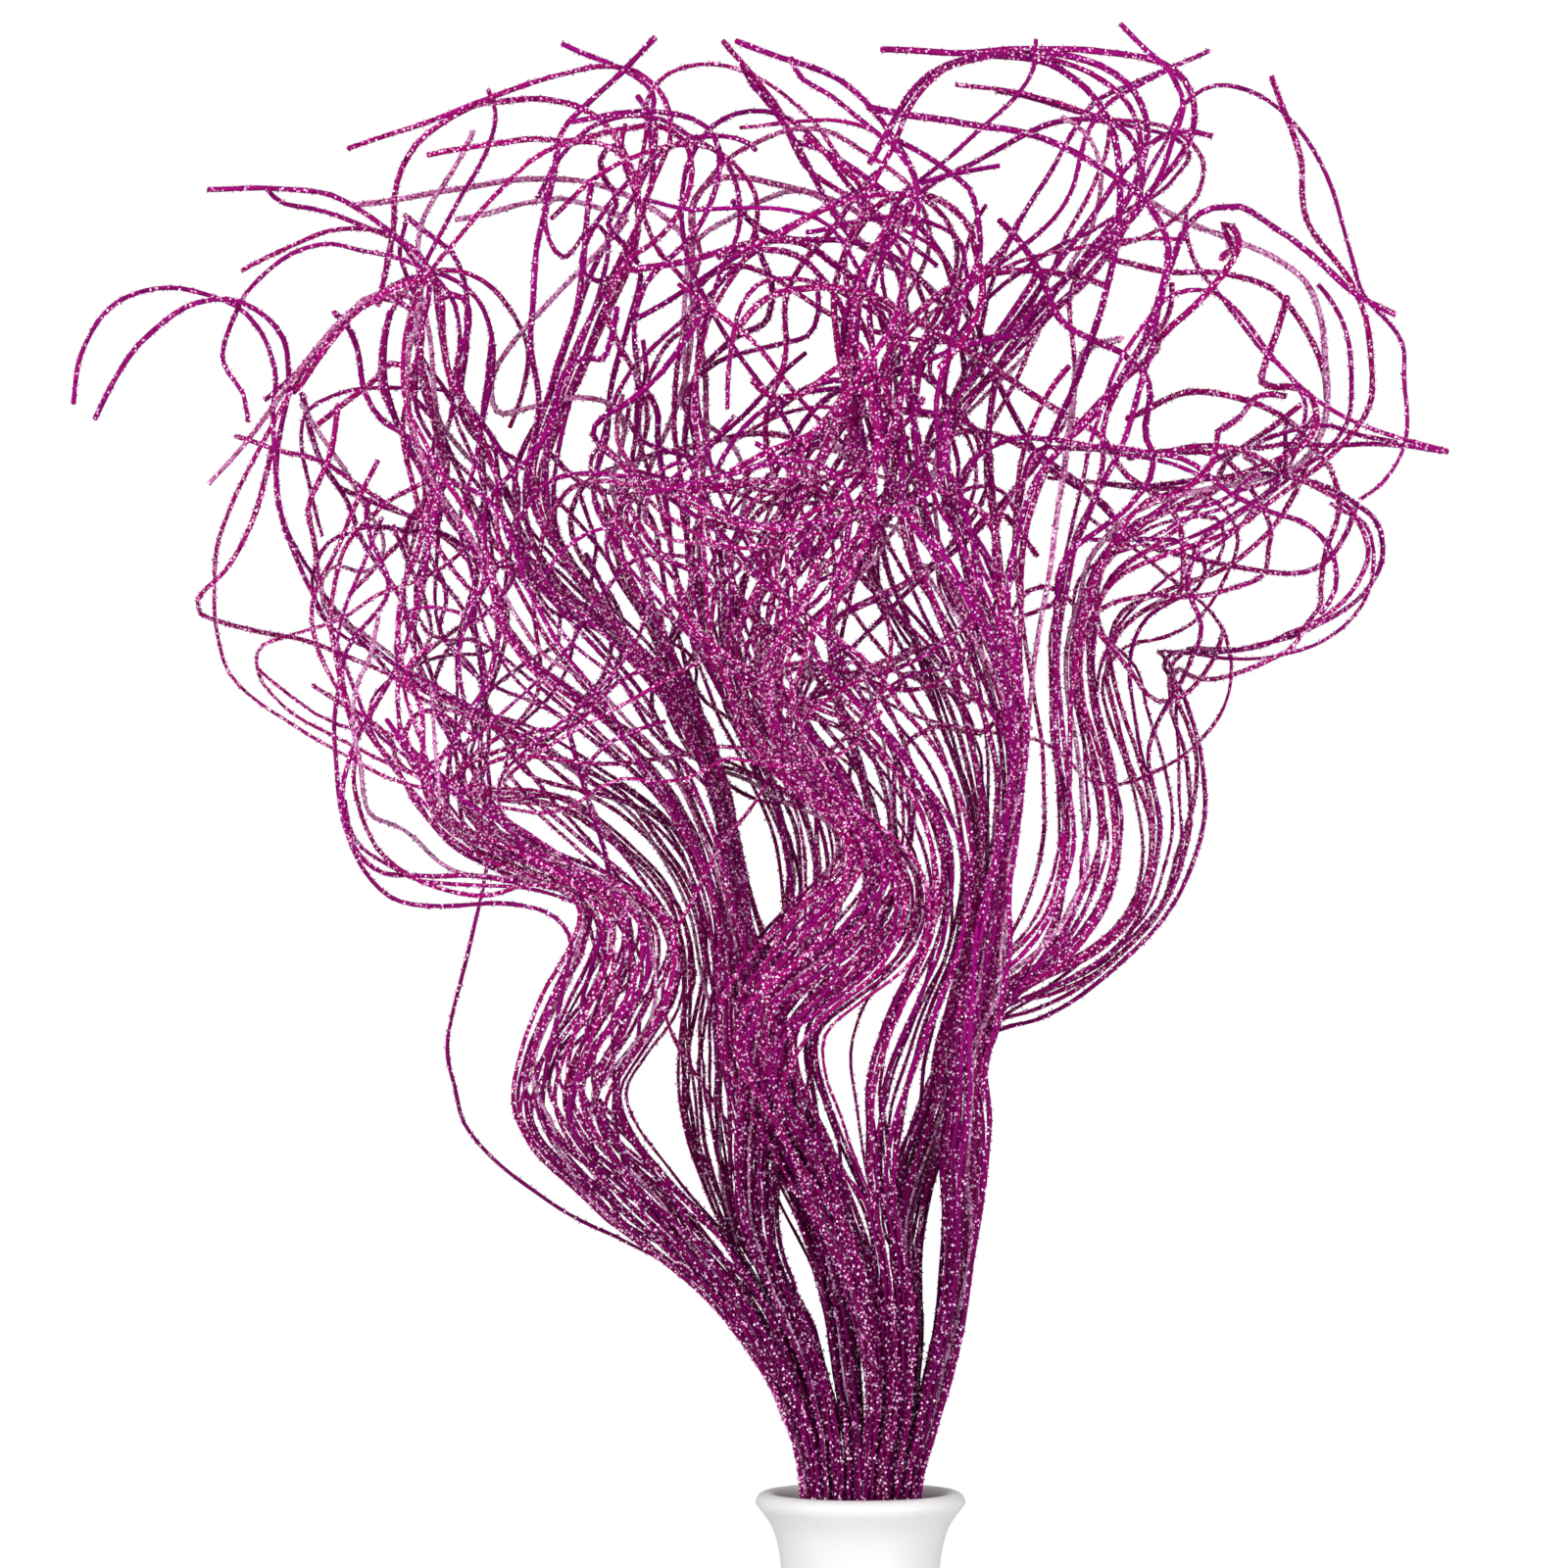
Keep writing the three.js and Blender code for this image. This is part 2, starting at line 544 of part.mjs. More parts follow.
// Every strand: its points, the radius at each, and how freely each may be nudged
function makeStrands() {
  const all = [];
  for (const bunch of BUNCHES) {
    for (const lock of LOCKS) {
      const ends = [...lock.ends].sort((a, b) => b.across - a.across);
      ends.forEach((end, order) => {
        const inVase = vaseLine(lock, order, bunch);
        const points = [...inVase, ...thinOut(crownLine(lock, end, order, bunch))];
        const radii = points.map((_, i) => mix(ROOT_RADIUS, TIP_RADIUS, i / (points.length - 1)));
        all.push({ node: `${bunch.name}_${lock.name}`, bunch, lock, points, radii });
      });
    }
  }
  return all;
}

// Closest points of two segments, as fractions along each
function closest(p, q, r, s) {
  const d1 = new THREE.Vector3().subVectors(q, p);
  const d2 = new THREE.Vector3().subVectors(s, r);
  const w = new THREE.Vector3().subVectors(p, r);
  const a = d1.dot(d1);
  const e = d2.dot(d2);
  const f = d2.dot(w);
  const b = d1.dot(d2);
  const c = d1.dot(w);
  const denominator = a * e - b * b;
  const clamp = THREE.MathUtils.clamp;
  let t = denominator > 1e-9 ? clamp((b * f - c * e) / denominator, 0, 1) : 0.5;
  let k = clamp((b * t + f) / e, 0, 1);
  t = clamp((b * k - c) / a, 0, 1);
  k = clamp((b * t + f) / e, 0, 1);
  return [t, k];
}

// Moves one end of a segment aside. The points inside the butt stay, those up to the mouth keep
// their height.
function nudge(strand, index, push, share) {
  if (index < ANCHORED) {
    return;
  }
  const point = strand.points[index];
  point.x += push.x * share;
  point.y += push.y * share;
  if (index >= LEVEL) {
    point.z += push.z * share;
  }
}

// Keeps the strands inside the tie and the neck
function holdIn(strand) {
  const tie = strand.points[2];
  const centre = strand.bunch.side * BUNCH_OFFSET;
  const inTie = TIE_BORE - ROOT_RADIUS - CLEARANCE;
  const reach = Math.hypot(tie.x - centre, tie.y);
  if (reach > inTie) {
    tie.x = centre + (tie.x - centre) * inTie / reach;
    tie.y *= inTie / reach;
  }
  const neck = strand.points[3];
  const inNeck = NECK_BORE - ROOT_RADIUS - 2 * CLEARANCE;
  const spread = Math.hypot(neck.x, neck.y);
  if (spread > inNeck) {
    neck.x *= inNeck / spread;
    neck.y *= inNeck / spread;
  }
}

// Pairs of segments that lie near one another
function nearPairs(segments) {
  const pairs = [];
  const boxes = segments.map(({ strand, i }) => {
    const [p, q] = [strand.points[i], strand.points[i + 1]];
    return new THREE.Box3().setFromPoints([p, q]).expandByScalar(LOOKOUT / 2);
  });
  const order = segments.map((_, n) => n).sort((a, b) => boxes[a].min.z - boxes[b].min.z);
  for (let m = 0; m < order.length; m += 1) {
    const a = order[m];
    for (let n = m + 1; n < order.length; n += 1) {
      const b = order[n];
      if (boxes[b].min.z > boxes[a].max.z) {
        break;
      }
      const same = segments[a].strand === segments[b].strand;
      if (same && Math.abs(segments[a].i - segments[b].i) < 3) {
        continue;
      }
      if (boxes[a].intersectsBox(boxes[b])) {
        pairs.push([segments[a], segments[b]]);
      }
    }
  }
  return pairs;
}

// Bends crossing strands clear of one another
function partStrands(strands) {
  const segments = strands.flatMap((strand) => (
    strand.points.slice(1).map((_, i) => ({ strand, i }))
  ));
  let pairs = [];
  const gap = new THREE.Vector3();
  const onA = new THREE.Vector3();
  const onB = new THREE.Vector3();
  for (let round = 0; round < ROUNDS; round += 1) {
    if (round % REFRESH === 0) {
      pairs = nearPairs(segments);
    }
    for (const [a, b] of pairs) {
      const [p, q] = [a.strand.points[a.i], a.strand.points[a.i + 1]];
      const [r, s] = [b.strand.points[b.i], b.strand.points[b.i + 1]];
      const [t, k] = closest(p, q, r, s);
      onA.lerpVectors(p, q, t);
      onB.lerpVectors(r, s, k);
      gap.subVectors(onA, onB);
      const apart = gap.length();
      const needed = a.strand.radii[a.i] + b.strand.radii[b.i] + CLEARANCE + SPARE;
      if (apart >= needed) {
        continue;
      }
      if (apart < SPARE / 10) {
        gap.set(0, 1, 0);
      }
      gap.normalize().multiplyScalar(EASE_OFF * (needed - apart) / 2);
      const shareA = (1 - t) ** 2 + t ** 2;
      const shareB = (1 - k) ** 2 + k ** 2;
      nudge(a.strand, a.i, gap, (1 - t) / shareA);
      nudge(a.strand, a.i + 1, gap, t / shareA);
      nudge(b.strand, b.i, gap, -(1 - k) / shareB);
      nudge(b.strand, b.i + 1, gap, -k / shareB);
    }
    strands.forEach(holdIn);
  }
}

// Direction of a strand at one of its points
function heading(points, i) {
  const along = new THREE.Vector3();
  if (i > 0) {
    along.add(points[i].clone().sub(points[i - 1]).normalize());
  }
  if (i < points.length - 1) {
    along.add(points[i + 1].clone().sub(points[i]).normalize());
  }
  return along.normalize();
}

// Closed tube along a strand, with no twist from one point to the next
function strandSolid({ points, radii }) {
  const positions = [];
  const faces = [];
  const corners = [...Array(STRAND_SIDES).keys()];
  const normal = new THREE.Vector3(0, 1, 0);
  points.forEach((point, i) => {
    const along = heading(points, i);
    normal.addScaledVector(along, -normal.dot(along)).normalize();
    const side = new THREE.Vector3().crossVectors(along, normal);
    const [under, here] = [STRAND_SIDES * (i - 1), STRAND_SIDES * i];
    for (const corner of corners) {
      const angle = 2 * Math.PI * corner / STRAND_SIDES;
      const place = point.clone()
        .addScaledVector(normal, radii[i] * Math.cos(angle))
        .addScaledVector(side, radii[i] * Math.sin(angle));
      positions.push(place.x, place.y, place.z);
      if (i > 0) {
        const next = (corner + 1) % STRAND_SIDES;
        faces.push(under + corner, under + next, here + next);
        faces.push(under + corner, here + next, here + corner);
      }
    }
  });
  const tip = STRAND_SIDES * (points.length - 1);
  for (const corner of corners.slice(2)) {
    faces.push(0, corner, corner - 1);
    faces.push(tip, tip + corner - 1, tip + corner);
  }
  const geometry = new THREE.BufferGeometry();
  geometry.setAttribute("position", new THREE.Float32BufferAttribute(positions, 3));
  geometry.setIndex(faces);
  return geometry;
}

const wasm = await Module();
wasm.setup();

function toSolid(source) {
  let geometry = source.clone();
  geometry.deleteAttribute("normal");
  geometry.deleteAttribute("uv");
  geometry = mergeVertices(geometry);
  return new wasm.Manifold(new wasm.Mesh({
    numProp: 3,
    vertProperties: new Float32Array(geometry.attributes.position.array),
    triVerts: new Uint32Array(geometry.index.array),
  }));
}

function toGeometry(solid) {
  const mesh = solid.getMesh();
  const geometry = new THREE.BufferGeometry();
  geometry.setAttribute("position", new THREE.BufferAttribute(mesh.vertProperties, 3));
  geometry.setIndex(new THREE.BufferAttribute(mesh.triVerts, 1));
  geometry.computeVertexNormals();
  return geometry;
}

// Trimmed lower end of a lock, which its strands are sunk into
function buttGeometry(lock, bunch) {
  const butt = new THREE.CylinderGeometry(BUTT_RADIUS, BUTT_RADIUS, BUTT_HEIGHT, BUTT_SIDES);
  butt.rotateX(Math.PI / 2);
  butt.rotateZ(Math.PI / BUTT_SIDES);
  butt.translate(
    bunch.side * BUNCH_OFFSET + lock.cell[0] * BUTT_PITCH,
    bunch.mirror * lock.cell[1] * BUTT_PITCH,
    FLOOR + CLEARANCE + BUTT_HEIGHT / 2,
  );
  return butt;
}

function lockMesh(node, strands) {
  const [{ lock, bunch }] = strands;
  let solid = toSolid(buttGeometry(lock, bunch));
  for (const strand of strands) {
    solid = solid.add(toSolid(strandSolid(strand)));
  }
  const material = new THREE.MeshStandardMaterial({ color: REED, roughness: 0.75, metalness: 0 });
  const mesh = new THREE.Mesh(toGeometry(solid), material);
  mesh.name = node;
  return mesh;
}

// Turned profile of the vase, from the centre of the foot up the outside, over the lip and down
// the inside to the centre of the floor
function vaseMesh() {
  const point = ([radius, height], inset = 0) => new THREE.Vector2(radius - inset, height);
  const lipHeight = VASE_HEIGHT - LIP_ROUND;
  const outside = new THREE.SplineCurve([
    point([FOOT_RADIUS, FOOT_ROUND]),
    point(LOWER_BODY),
    point(BELLY),
    point(SHOULDER),
    point(NECK_BASE),
    point(NECK),
    point(FLARE),
    point([LIP_RADIUS, lipHeight]),
  ]).getPoints(OUTSIDE_STEPS);
  const lip = new THREE.EllipseCurve(
    (LIP_RADIUS + MOUTH_RADIUS) / 2,
    lipHeight,
    (LIP_RADIUS - MOUTH_RADIUS) / 2,
    LIP_ROUND,
    0,
    Math.PI,
  ).getPoints(LIP_STEPS).slice(1);
  const inside = new THREE.SplineCurve([
    point(THROAT),
    point([NECK_BORE, NECK[1]]),
    point(NECK_BASE, WALL),
    point(SHOULDER, WALL),
    point(BELLY, WALL),
    point(LOWER_BODY, WALL),
    point([FOOT_RADIUS, FLOOR], WALL),
  ]).getPoints(INSIDE_STEPS);
  const profile = [
    point([0, 0]),
    point([FOOT_RADIUS, 0], FOOT_ROUND),
    ...outside,
    ...lip,
    ...inside,
    point([0, FLOOR]),
  ];
  const geometry = new THREE.LatheGeometry(profile, VASE_SIDES);
  geometry.rotateX(Math.PI / 2);
  const material = new THREE.MeshStandardMaterial({ color: CERAMIC, roughness: 0.35, metalness: 0 });
  const mesh = new THREE.Mesh(toGeometry(toSolid(geometry)), material);
  mesh.name = "vase";
  return mesh;
}

// Band that binds one bunch inside the vase
function tieMesh(bunch) {
  const profile = [
    new THREE.Vector2(TIE_BORE, -TIE_BAND / 2),
    new THREE.Vector2(TIE_BORE + TIE_THICKNESS, -TIE_BAND / 2),
    new THREE.Vector2(TIE_BORE + TIE_THICKNESS, TIE_BAND / 2),
    new THREE.Vector2(TIE_BORE, TIE_BAND / 2),
    new THREE.Vector2(TIE_BORE, -TIE_BAND / 2),
  ];
  const geometry = new THREE.LatheGeometry(profile, TIE_SIDES);
  geometry.rotateX(Math.PI / 2);
  const material = new THREE.MeshStandardMaterial({ color: TWINE, roughness: 0.9, metalness: 0 });
  const mesh = new THREE.Mesh(toGeometry(toSolid(geometry)), material);
  mesh.name = `${bunch.name}_tie`;
  mesh.position.set(bunch.side * BUNCH_OFFSET, 0, TIE_HEIGHT);
  return mesh;
}

const part = new THREE.Group();
part.add(vaseMesh());
BUNCHES.forEach((bunch) => part.add(tieMesh(bunch)));

const strands = makeStrands();
partStrands(strands);
for (const node of new Set(strands.map((strand) => strand.node))) {
  part.add(lockMesh(node, strands.filter((strand) => strand.node === node)));
}

export default part;
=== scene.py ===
import math
import random

import bmesh
import bpy
from mathutils import Matrix, Vector, noise
from mathutils.geometry import interpolate_bezier
from mathutils.kdtree import KDTree


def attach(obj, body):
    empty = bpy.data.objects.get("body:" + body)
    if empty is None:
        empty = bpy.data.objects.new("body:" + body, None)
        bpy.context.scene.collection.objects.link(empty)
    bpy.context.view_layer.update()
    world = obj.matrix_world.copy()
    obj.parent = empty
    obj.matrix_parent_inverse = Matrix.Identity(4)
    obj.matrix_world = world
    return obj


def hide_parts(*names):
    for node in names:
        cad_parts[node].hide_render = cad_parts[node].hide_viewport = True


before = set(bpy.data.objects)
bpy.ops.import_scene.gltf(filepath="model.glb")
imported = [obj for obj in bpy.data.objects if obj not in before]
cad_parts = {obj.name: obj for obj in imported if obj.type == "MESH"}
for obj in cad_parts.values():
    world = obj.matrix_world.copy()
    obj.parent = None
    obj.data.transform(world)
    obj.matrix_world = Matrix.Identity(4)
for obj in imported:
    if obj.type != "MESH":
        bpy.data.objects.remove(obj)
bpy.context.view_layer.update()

bl_info = {
    "name": "Curly ting ting branches in a vase",
    "version": (1, 0, 0),
    "blender": (4, 5, 0),
    "location": "View3D > Sidebar > Ting Ting",
    "description": "Two bunches of glittered dried strands in a white vase, with a plain stage",
    "category": "Object",
}

# Lengths and places below are in millimetres, and become metres where a shape is made
MM = 0.001

# Vase: heights, and radius and height of the points that its outline passes
VASE_HEIGHT = 170
FLOOR = 6
WALL = 3.8
FOOT_RADIUS = 39
FOOT_ROUND = 2
FOOT_TURNS = (0, 0.5, 1)
LOWER_BODY = (50.5, 27)
BELLY = (55, 68)
SHOULDER = (45, 107)
NECK_BASE = (29.6, 131)
NECK = (28.4, 143)
NECK_BORE = 24.6
FLARE = (31.4, 157)
LIP_RADIUS = 37.5
LIP_ROUND = 4
MOUTH_RADIUS = 30
THROAT = (27, 158)

# Bound lower ends of the strands, the ties, whose twine rises by a few of its own widths, and how
# far the locks stand from one another in the butt, tie, neck and mouth
BUTT_RADIUS = 4.2
BUTT_HEIGHT = 13
BUTT_BASE = 6.3
BUTT_EDGE = 0.6
ROOT_DEPTH = 8
BUTT_PITCH = 8.9
BUNCH_OFFSET = 17
TIE_HEIGHT = 72
TIE_BORE = 15
TIE_RISE = 3.1
TIE_PITCH = 7.4
NECK_OFFSET = 10.3
NECK_PITCH = (6.9, 8)
MOUTH_PITCH = 10
MOUTH_STAGGER = (-2.6, 2.6, 0, -2.6, 2.6)

# A lock's strands stand in columns and rows in the neck, this far from one another
SLOT_COLUMNS = 3
SLOT_ROWS = 5
SLOT_PITCH = (2.15, 1.6)

# How far the strands wave in depth, over what length and from what height on, how much later a
# lock's wave comes for its column and row, and how many times wider a lock is at its upper end
WAVE = 24
WAVE_LENGTH = 200
WAVE_START = 30
COLUMN_PHASE = 0.6
ROW_PHASE = 1.1
LOCK_SPREAD = 2.2

# The routes are drawn as seen from this place in front, with its height above the vase's rim
EYE_X = -27.3
EYE_Z = 252.7
EYE_DISTANCE = 2650

# How finely the shapes are made, and how close points are merged
ROUTE_STEP = 5
STRAND_STEP = 5.2
STRAND_SIDES = 5
OUTLINE_STEP = 2.5
LIP_STEPS = 12
TIE_TURNS = 4
TIE_STEPS = 40
TWINE_ROUNDNESS = 3
BUTT_SIDES = 20
BUTT_EDGE_STEPS = 2
FLOOR_SIDES = 96
WELD = 0.01

# Radius of a strand in the vase's neck, at the locks' upper ends and in the crown, how it differs
# from strand to strand, and the heights over which it grows
NECK_STRAND = 0.62
FULL_STRAND = 0.8
TIP_STRAND = 1.06
THICKNESS = (0.76, 1.22)
LOCK_GROWTH = 240
CROWN_BASE = 460
CROWN_GROWTH = 120

# Courses of the companion strands. A reach is 0 at the mouth, 1 where the lock fans out and 2 at
# the tip. A rise is the reach at which something starts and the stretch over which it grows.
#
# In a lock: where a strand starts between two traced ones, how many of them it may cross, among how
# many near ones of other locks it finds its neighbour and the reaches where these are compared, how
# many strands lean over to the neighbour and how far, how far in front of or behind the traced ones
# a strand runs and the share of that lost in the crown, and how far and how often it weaves
START_IN_GAP = (0.1, 0.9)
DRIFT = 2.8
NEIGHBOURS = 8
NEAR_REACHES = (0.4, 0.6, 0.8, 1)
BETWEEN_SHARE = 0.35
LEANS_OVER = (0.1, 0.8)
LEAN_RISE = (0.1, 0.5)
LOCK_DEPTH = 6
DEPTH_RISE = (0, 0.4)
CROWN_DEPTH = 0.5
WEAVE = 2.4
WEAVE_PACE = 5
WEAVE_RISE = (0, 0.3)

# In the crown: where a strand leaves the lock and over what stretch, how far it goes over to a
# second one and how many go far away, how many keep close to what they follow, how far beside it
# they run and how often they sway, how much of what would take them out of the crown is left out,
# how many cut a corner and between which reaches, the rounds in which turns are eased, and the tips
LEAVING_REACH = (1.0, 1.45)
LEAVING_STRETCH = 0.7
STRAYS_BY = (0, 0.4, 1)
STRAY_SHARE = 0.22
CLOSE_SHARE = 0.35
CLOSE_SPREAD = (1.9, 3.2)
CROWN_SPREAD = (6, 38)
SPREAD_RISE = (0.8, 1.0)
SWAY = 1.7
KEPT_IN = 0.8
CUT_SHARE = 0.5
CUT_REACHES = ((0.84, 0.98), (1.1, 1.4))
LAST_CUT = 0.95
EASING = 6
COMPANION_REACH = (1.38, 1.97)

# How far apart the places in the noise are drawn that make one strand unlike another, and how far
# the weaving is from the swaying there
NOISE_SPAN = 500
WEAVE_PLACE = 7

# Parting of strands that run into one another: rounds, how far to look, the distance between two
# centre lines, the share of an overlap taken out at once, and the first steps, which stay
PARTING_ROUNDS = 8
PARTING_REACH = 3.2
STRAND_GAP = 1.95
PARTING_SHARE = 0.3
LONGEST_MOVE = 0.8
FIXED_STEPS = 27

# Every strand's own slight kinks, the sharpest turn that it keeps as the cosine of one step's
# turn, and the rounds of easing
KINK = 1.1
KINK_LENGTH = 26
SHARPEST = 0.9
BEND_ROUNDS = 60

# Detail of the finishes, in metres: patches in the dye, knobs on a strand and their height, how far
# the grains stand out, relief of the flecks, the heights above which there are grains, where the
# painted shade low on the locks is darkest and where it ends, clouds and ripples in the glaze, and
# the twine's plies
PATCH = 0.02
KNOB = 0.005
KNOB_HEIGHT = 0.0006
GRAIN_RISE = 0.00027
FLECK_RELIEF = 0.0002
GRAINS_ABOVE = 0.16
# Heights of the painted shade low on the locks: darkest up to the first, gone from the second
DARKEST_LOW_SHADE = 0.25
LOW_SHADE_END = 0.37
GLAZE_CLOUD = 0.03
GLAZE_RIPPLE = 0.014
GLAZE_RELIEF = 0.0002
TWINE_PLY = 0.012
TWINE_RELIEF = 0.0004

# Glitter grains: a cone's sides, foot and height for a size of 1, the smallest size as a share of
# the largest, how far one is turned about each axis, and the numbers that tell grains by their glint
GRAIN_SIDES = 3
GRAIN_FOOT = 0.6
GRAIN_DEPTH = 0.7
SMALLEST_GRAIN = 0.55
GRAIN_TURN = 6.3
GLINTS = (0.1, 1.0)
LEAST_GLINT = 0.01

# How much the strands differ in shade, how often their tones are folded into other numbers for
# that, and the share of their hue
STRAND_SHADES = 0.35
TONE_FOLDS = 7
HUE_SHARE = 0.55

# Gloss
REED_ROUGHNESS = 0.6
REED_SPECULAR = 0.05
GLITTER_ROUGHNESS = 0.36
GLITTER_METAL = 0.35
GLAZE_COAT = 0.25
GLAZE_COAT_ROUGHNESS = 0.12
TWINE_ROUGHNESS = 0.9
FLOOR_ROUGHNESS = 0.8

# Share of a strand that stays free of flecks, for its place among all strands
FLECKED = [(0.05, 0.91), (0.3, 0.77), (0.6, 0.69), (0.9, 0.6)]

# How much larger that share is at some heights, in metres
FEWER_FLECKS = [(0.18, 0.12), (0.28, 0.22), (0.34, 0.17), (0.4, 0.0), (0.48, 0.01), (0.56, 0.13)]

# Stage
SENSOR = 36
VIEW_WIDTH = 560
CROWN_CENTRE = (-30, 0, 430)
KEY_PLACE = (-1500, -1900, 1300)
KEY_SIZE = 1.4
FILL_PLACE = (1600, -1900, 600)
FILL_SIZE = 1.4

# The two bunches have the same routes. The second one leans to the right about a point in the
# neck, and stands in front where the first stands behind.
LEAN_PIVOT = (14, -52)
BUNCHES = [
    {"name": "left", "lean": 0, "side": -1, "back": 14, "mirror": 1, "phase": 0.4},
    {"name": "right", "lean": 19.7, "side": 1, "back": -14, "mirror": -1, "phase": 2.1},
]
BACK_START = 60

# Routes of the locks, from the vase mouth upwards: x and height above the rim of a lock's left
# edge, then of its right edge, given in the front view of the left bunch.
LOW_CURL = [
    [-20, 0, -12, 0], [-23, 15, -14, 15], [-29, 32, -18, 32], [-40, 50, -25, 50],
    [-54, 68, -34, 70], [-76, 86, -48, 92], [-100, 106, -66, 112], [-117, 122, -80, 130],
    [-124, 138, -84, 143], [-122, 156, -76, 157], [-113, 177, -66, 171], [-104, 194, -62, 184],
    [-100, 206, -64, 199], [-104, 214, -74, 211], [-118, 217, -94, 220],
]
LEFT_SWEEP = [
    [-13, 0, -6, 0], [-15, 20, -9, 20], [-22, 40, -14, 40], [-32, 60, -22, 62], [-41, 78, -32, 80],
    [-50, 95, -42, 96], [-57, 112, -47, 112], [-63, 130, -50, 129], [-65, 148, -50, 148],
    [-64, 168, -49, 168], [-63, 188, -49, 190], [-67, 206, -53, 212], [-78, 222, -61, 230],
    [-94, 236, -76, 247], [-112, 246, -96, 260],
]
CENTRE_SWEEP = [
    [-12, 0, -4, 0], [-14, 20, -7, 20], [-18, 40, -11, 39], [-27, 60, -18, 60], [-36, 80, -29, 79],
    [-43, 96, -33, 95], [-44, 112, -33, 110], [-43, 128, -31, 126], [-48, 146, -30, 146],
    [-50, 168, -31, 168], [-50, 190, -35, 190], [-53, 210, -41, 210], [-61, 232, -47, 234],
    [-73, 250, -53, 256], [-90, 268, -63, 276], [-108, 284, -76, 294],
]
RIGHT_CURL = [
    [-12, 0, -5, 0], [-14, 20, -7, 20], [-19, 42, -12, 42], [-28, 62, -18, 61], [-36, 82, -29, 81],
    [-42, 100, -33, 98], [-44, 118, -34, 116], [-43, 135, -33, 133], [-42, 151, -33, 149],
    [-38, 167, -27, 164], [-28, 183, -14, 172], [-14, 194, -3, 184], [-2, 206, 7, 202],
    [4, 222, 16, 222], [2, 240, 19, 242], [-6, 257, 17, 262], [-16, 270, 9, 281],
    [-28, 284, -2, 297],
]
RIGHT_STRAIGHT = [
    [-4, 0, 2.5, 0], [-6, 20, 1, 20], [-9, 40, 0, 40], [-12, 60, -2, 60], [-17, 80, -6, 80],
    [-23, 98, -10, 100], [-30, 114, -14, 118], [-34, 132, -19, 136], [-40, 152, -26, 151],
    [-45, 172, -27, 168], [-48, 192, -31, 190], [-49, 212, -38, 210], [-50, 234, -44, 234],
    [-54, 256, -49, 256], [-63, 276, -56, 276],
]
RIGHT_INNER = [
    [-4, 0, 2, 0], [-5, 20, 1, 20], [-8, 40, -1, 40], [-11, 60, -4, 60], [-15, 80, -7, 80],
    [-21, 98, -12, 100], [-28, 114, -17, 118], [-32, 132, -23, 135], [-37, 150, -27, 150],
    [-38, 168, -28, 168], [-36, 184, -25, 180], [-30, 196, -16, 190], [-27, 208, -8, 206],
    [-26, 222, -6, 222], [-28, 238, -10, 240], [-36, 254, -18, 258], [-43, 270, -28, 272],
    [-50, 286, -38, 286], [-55, 302, -44, 302],
]

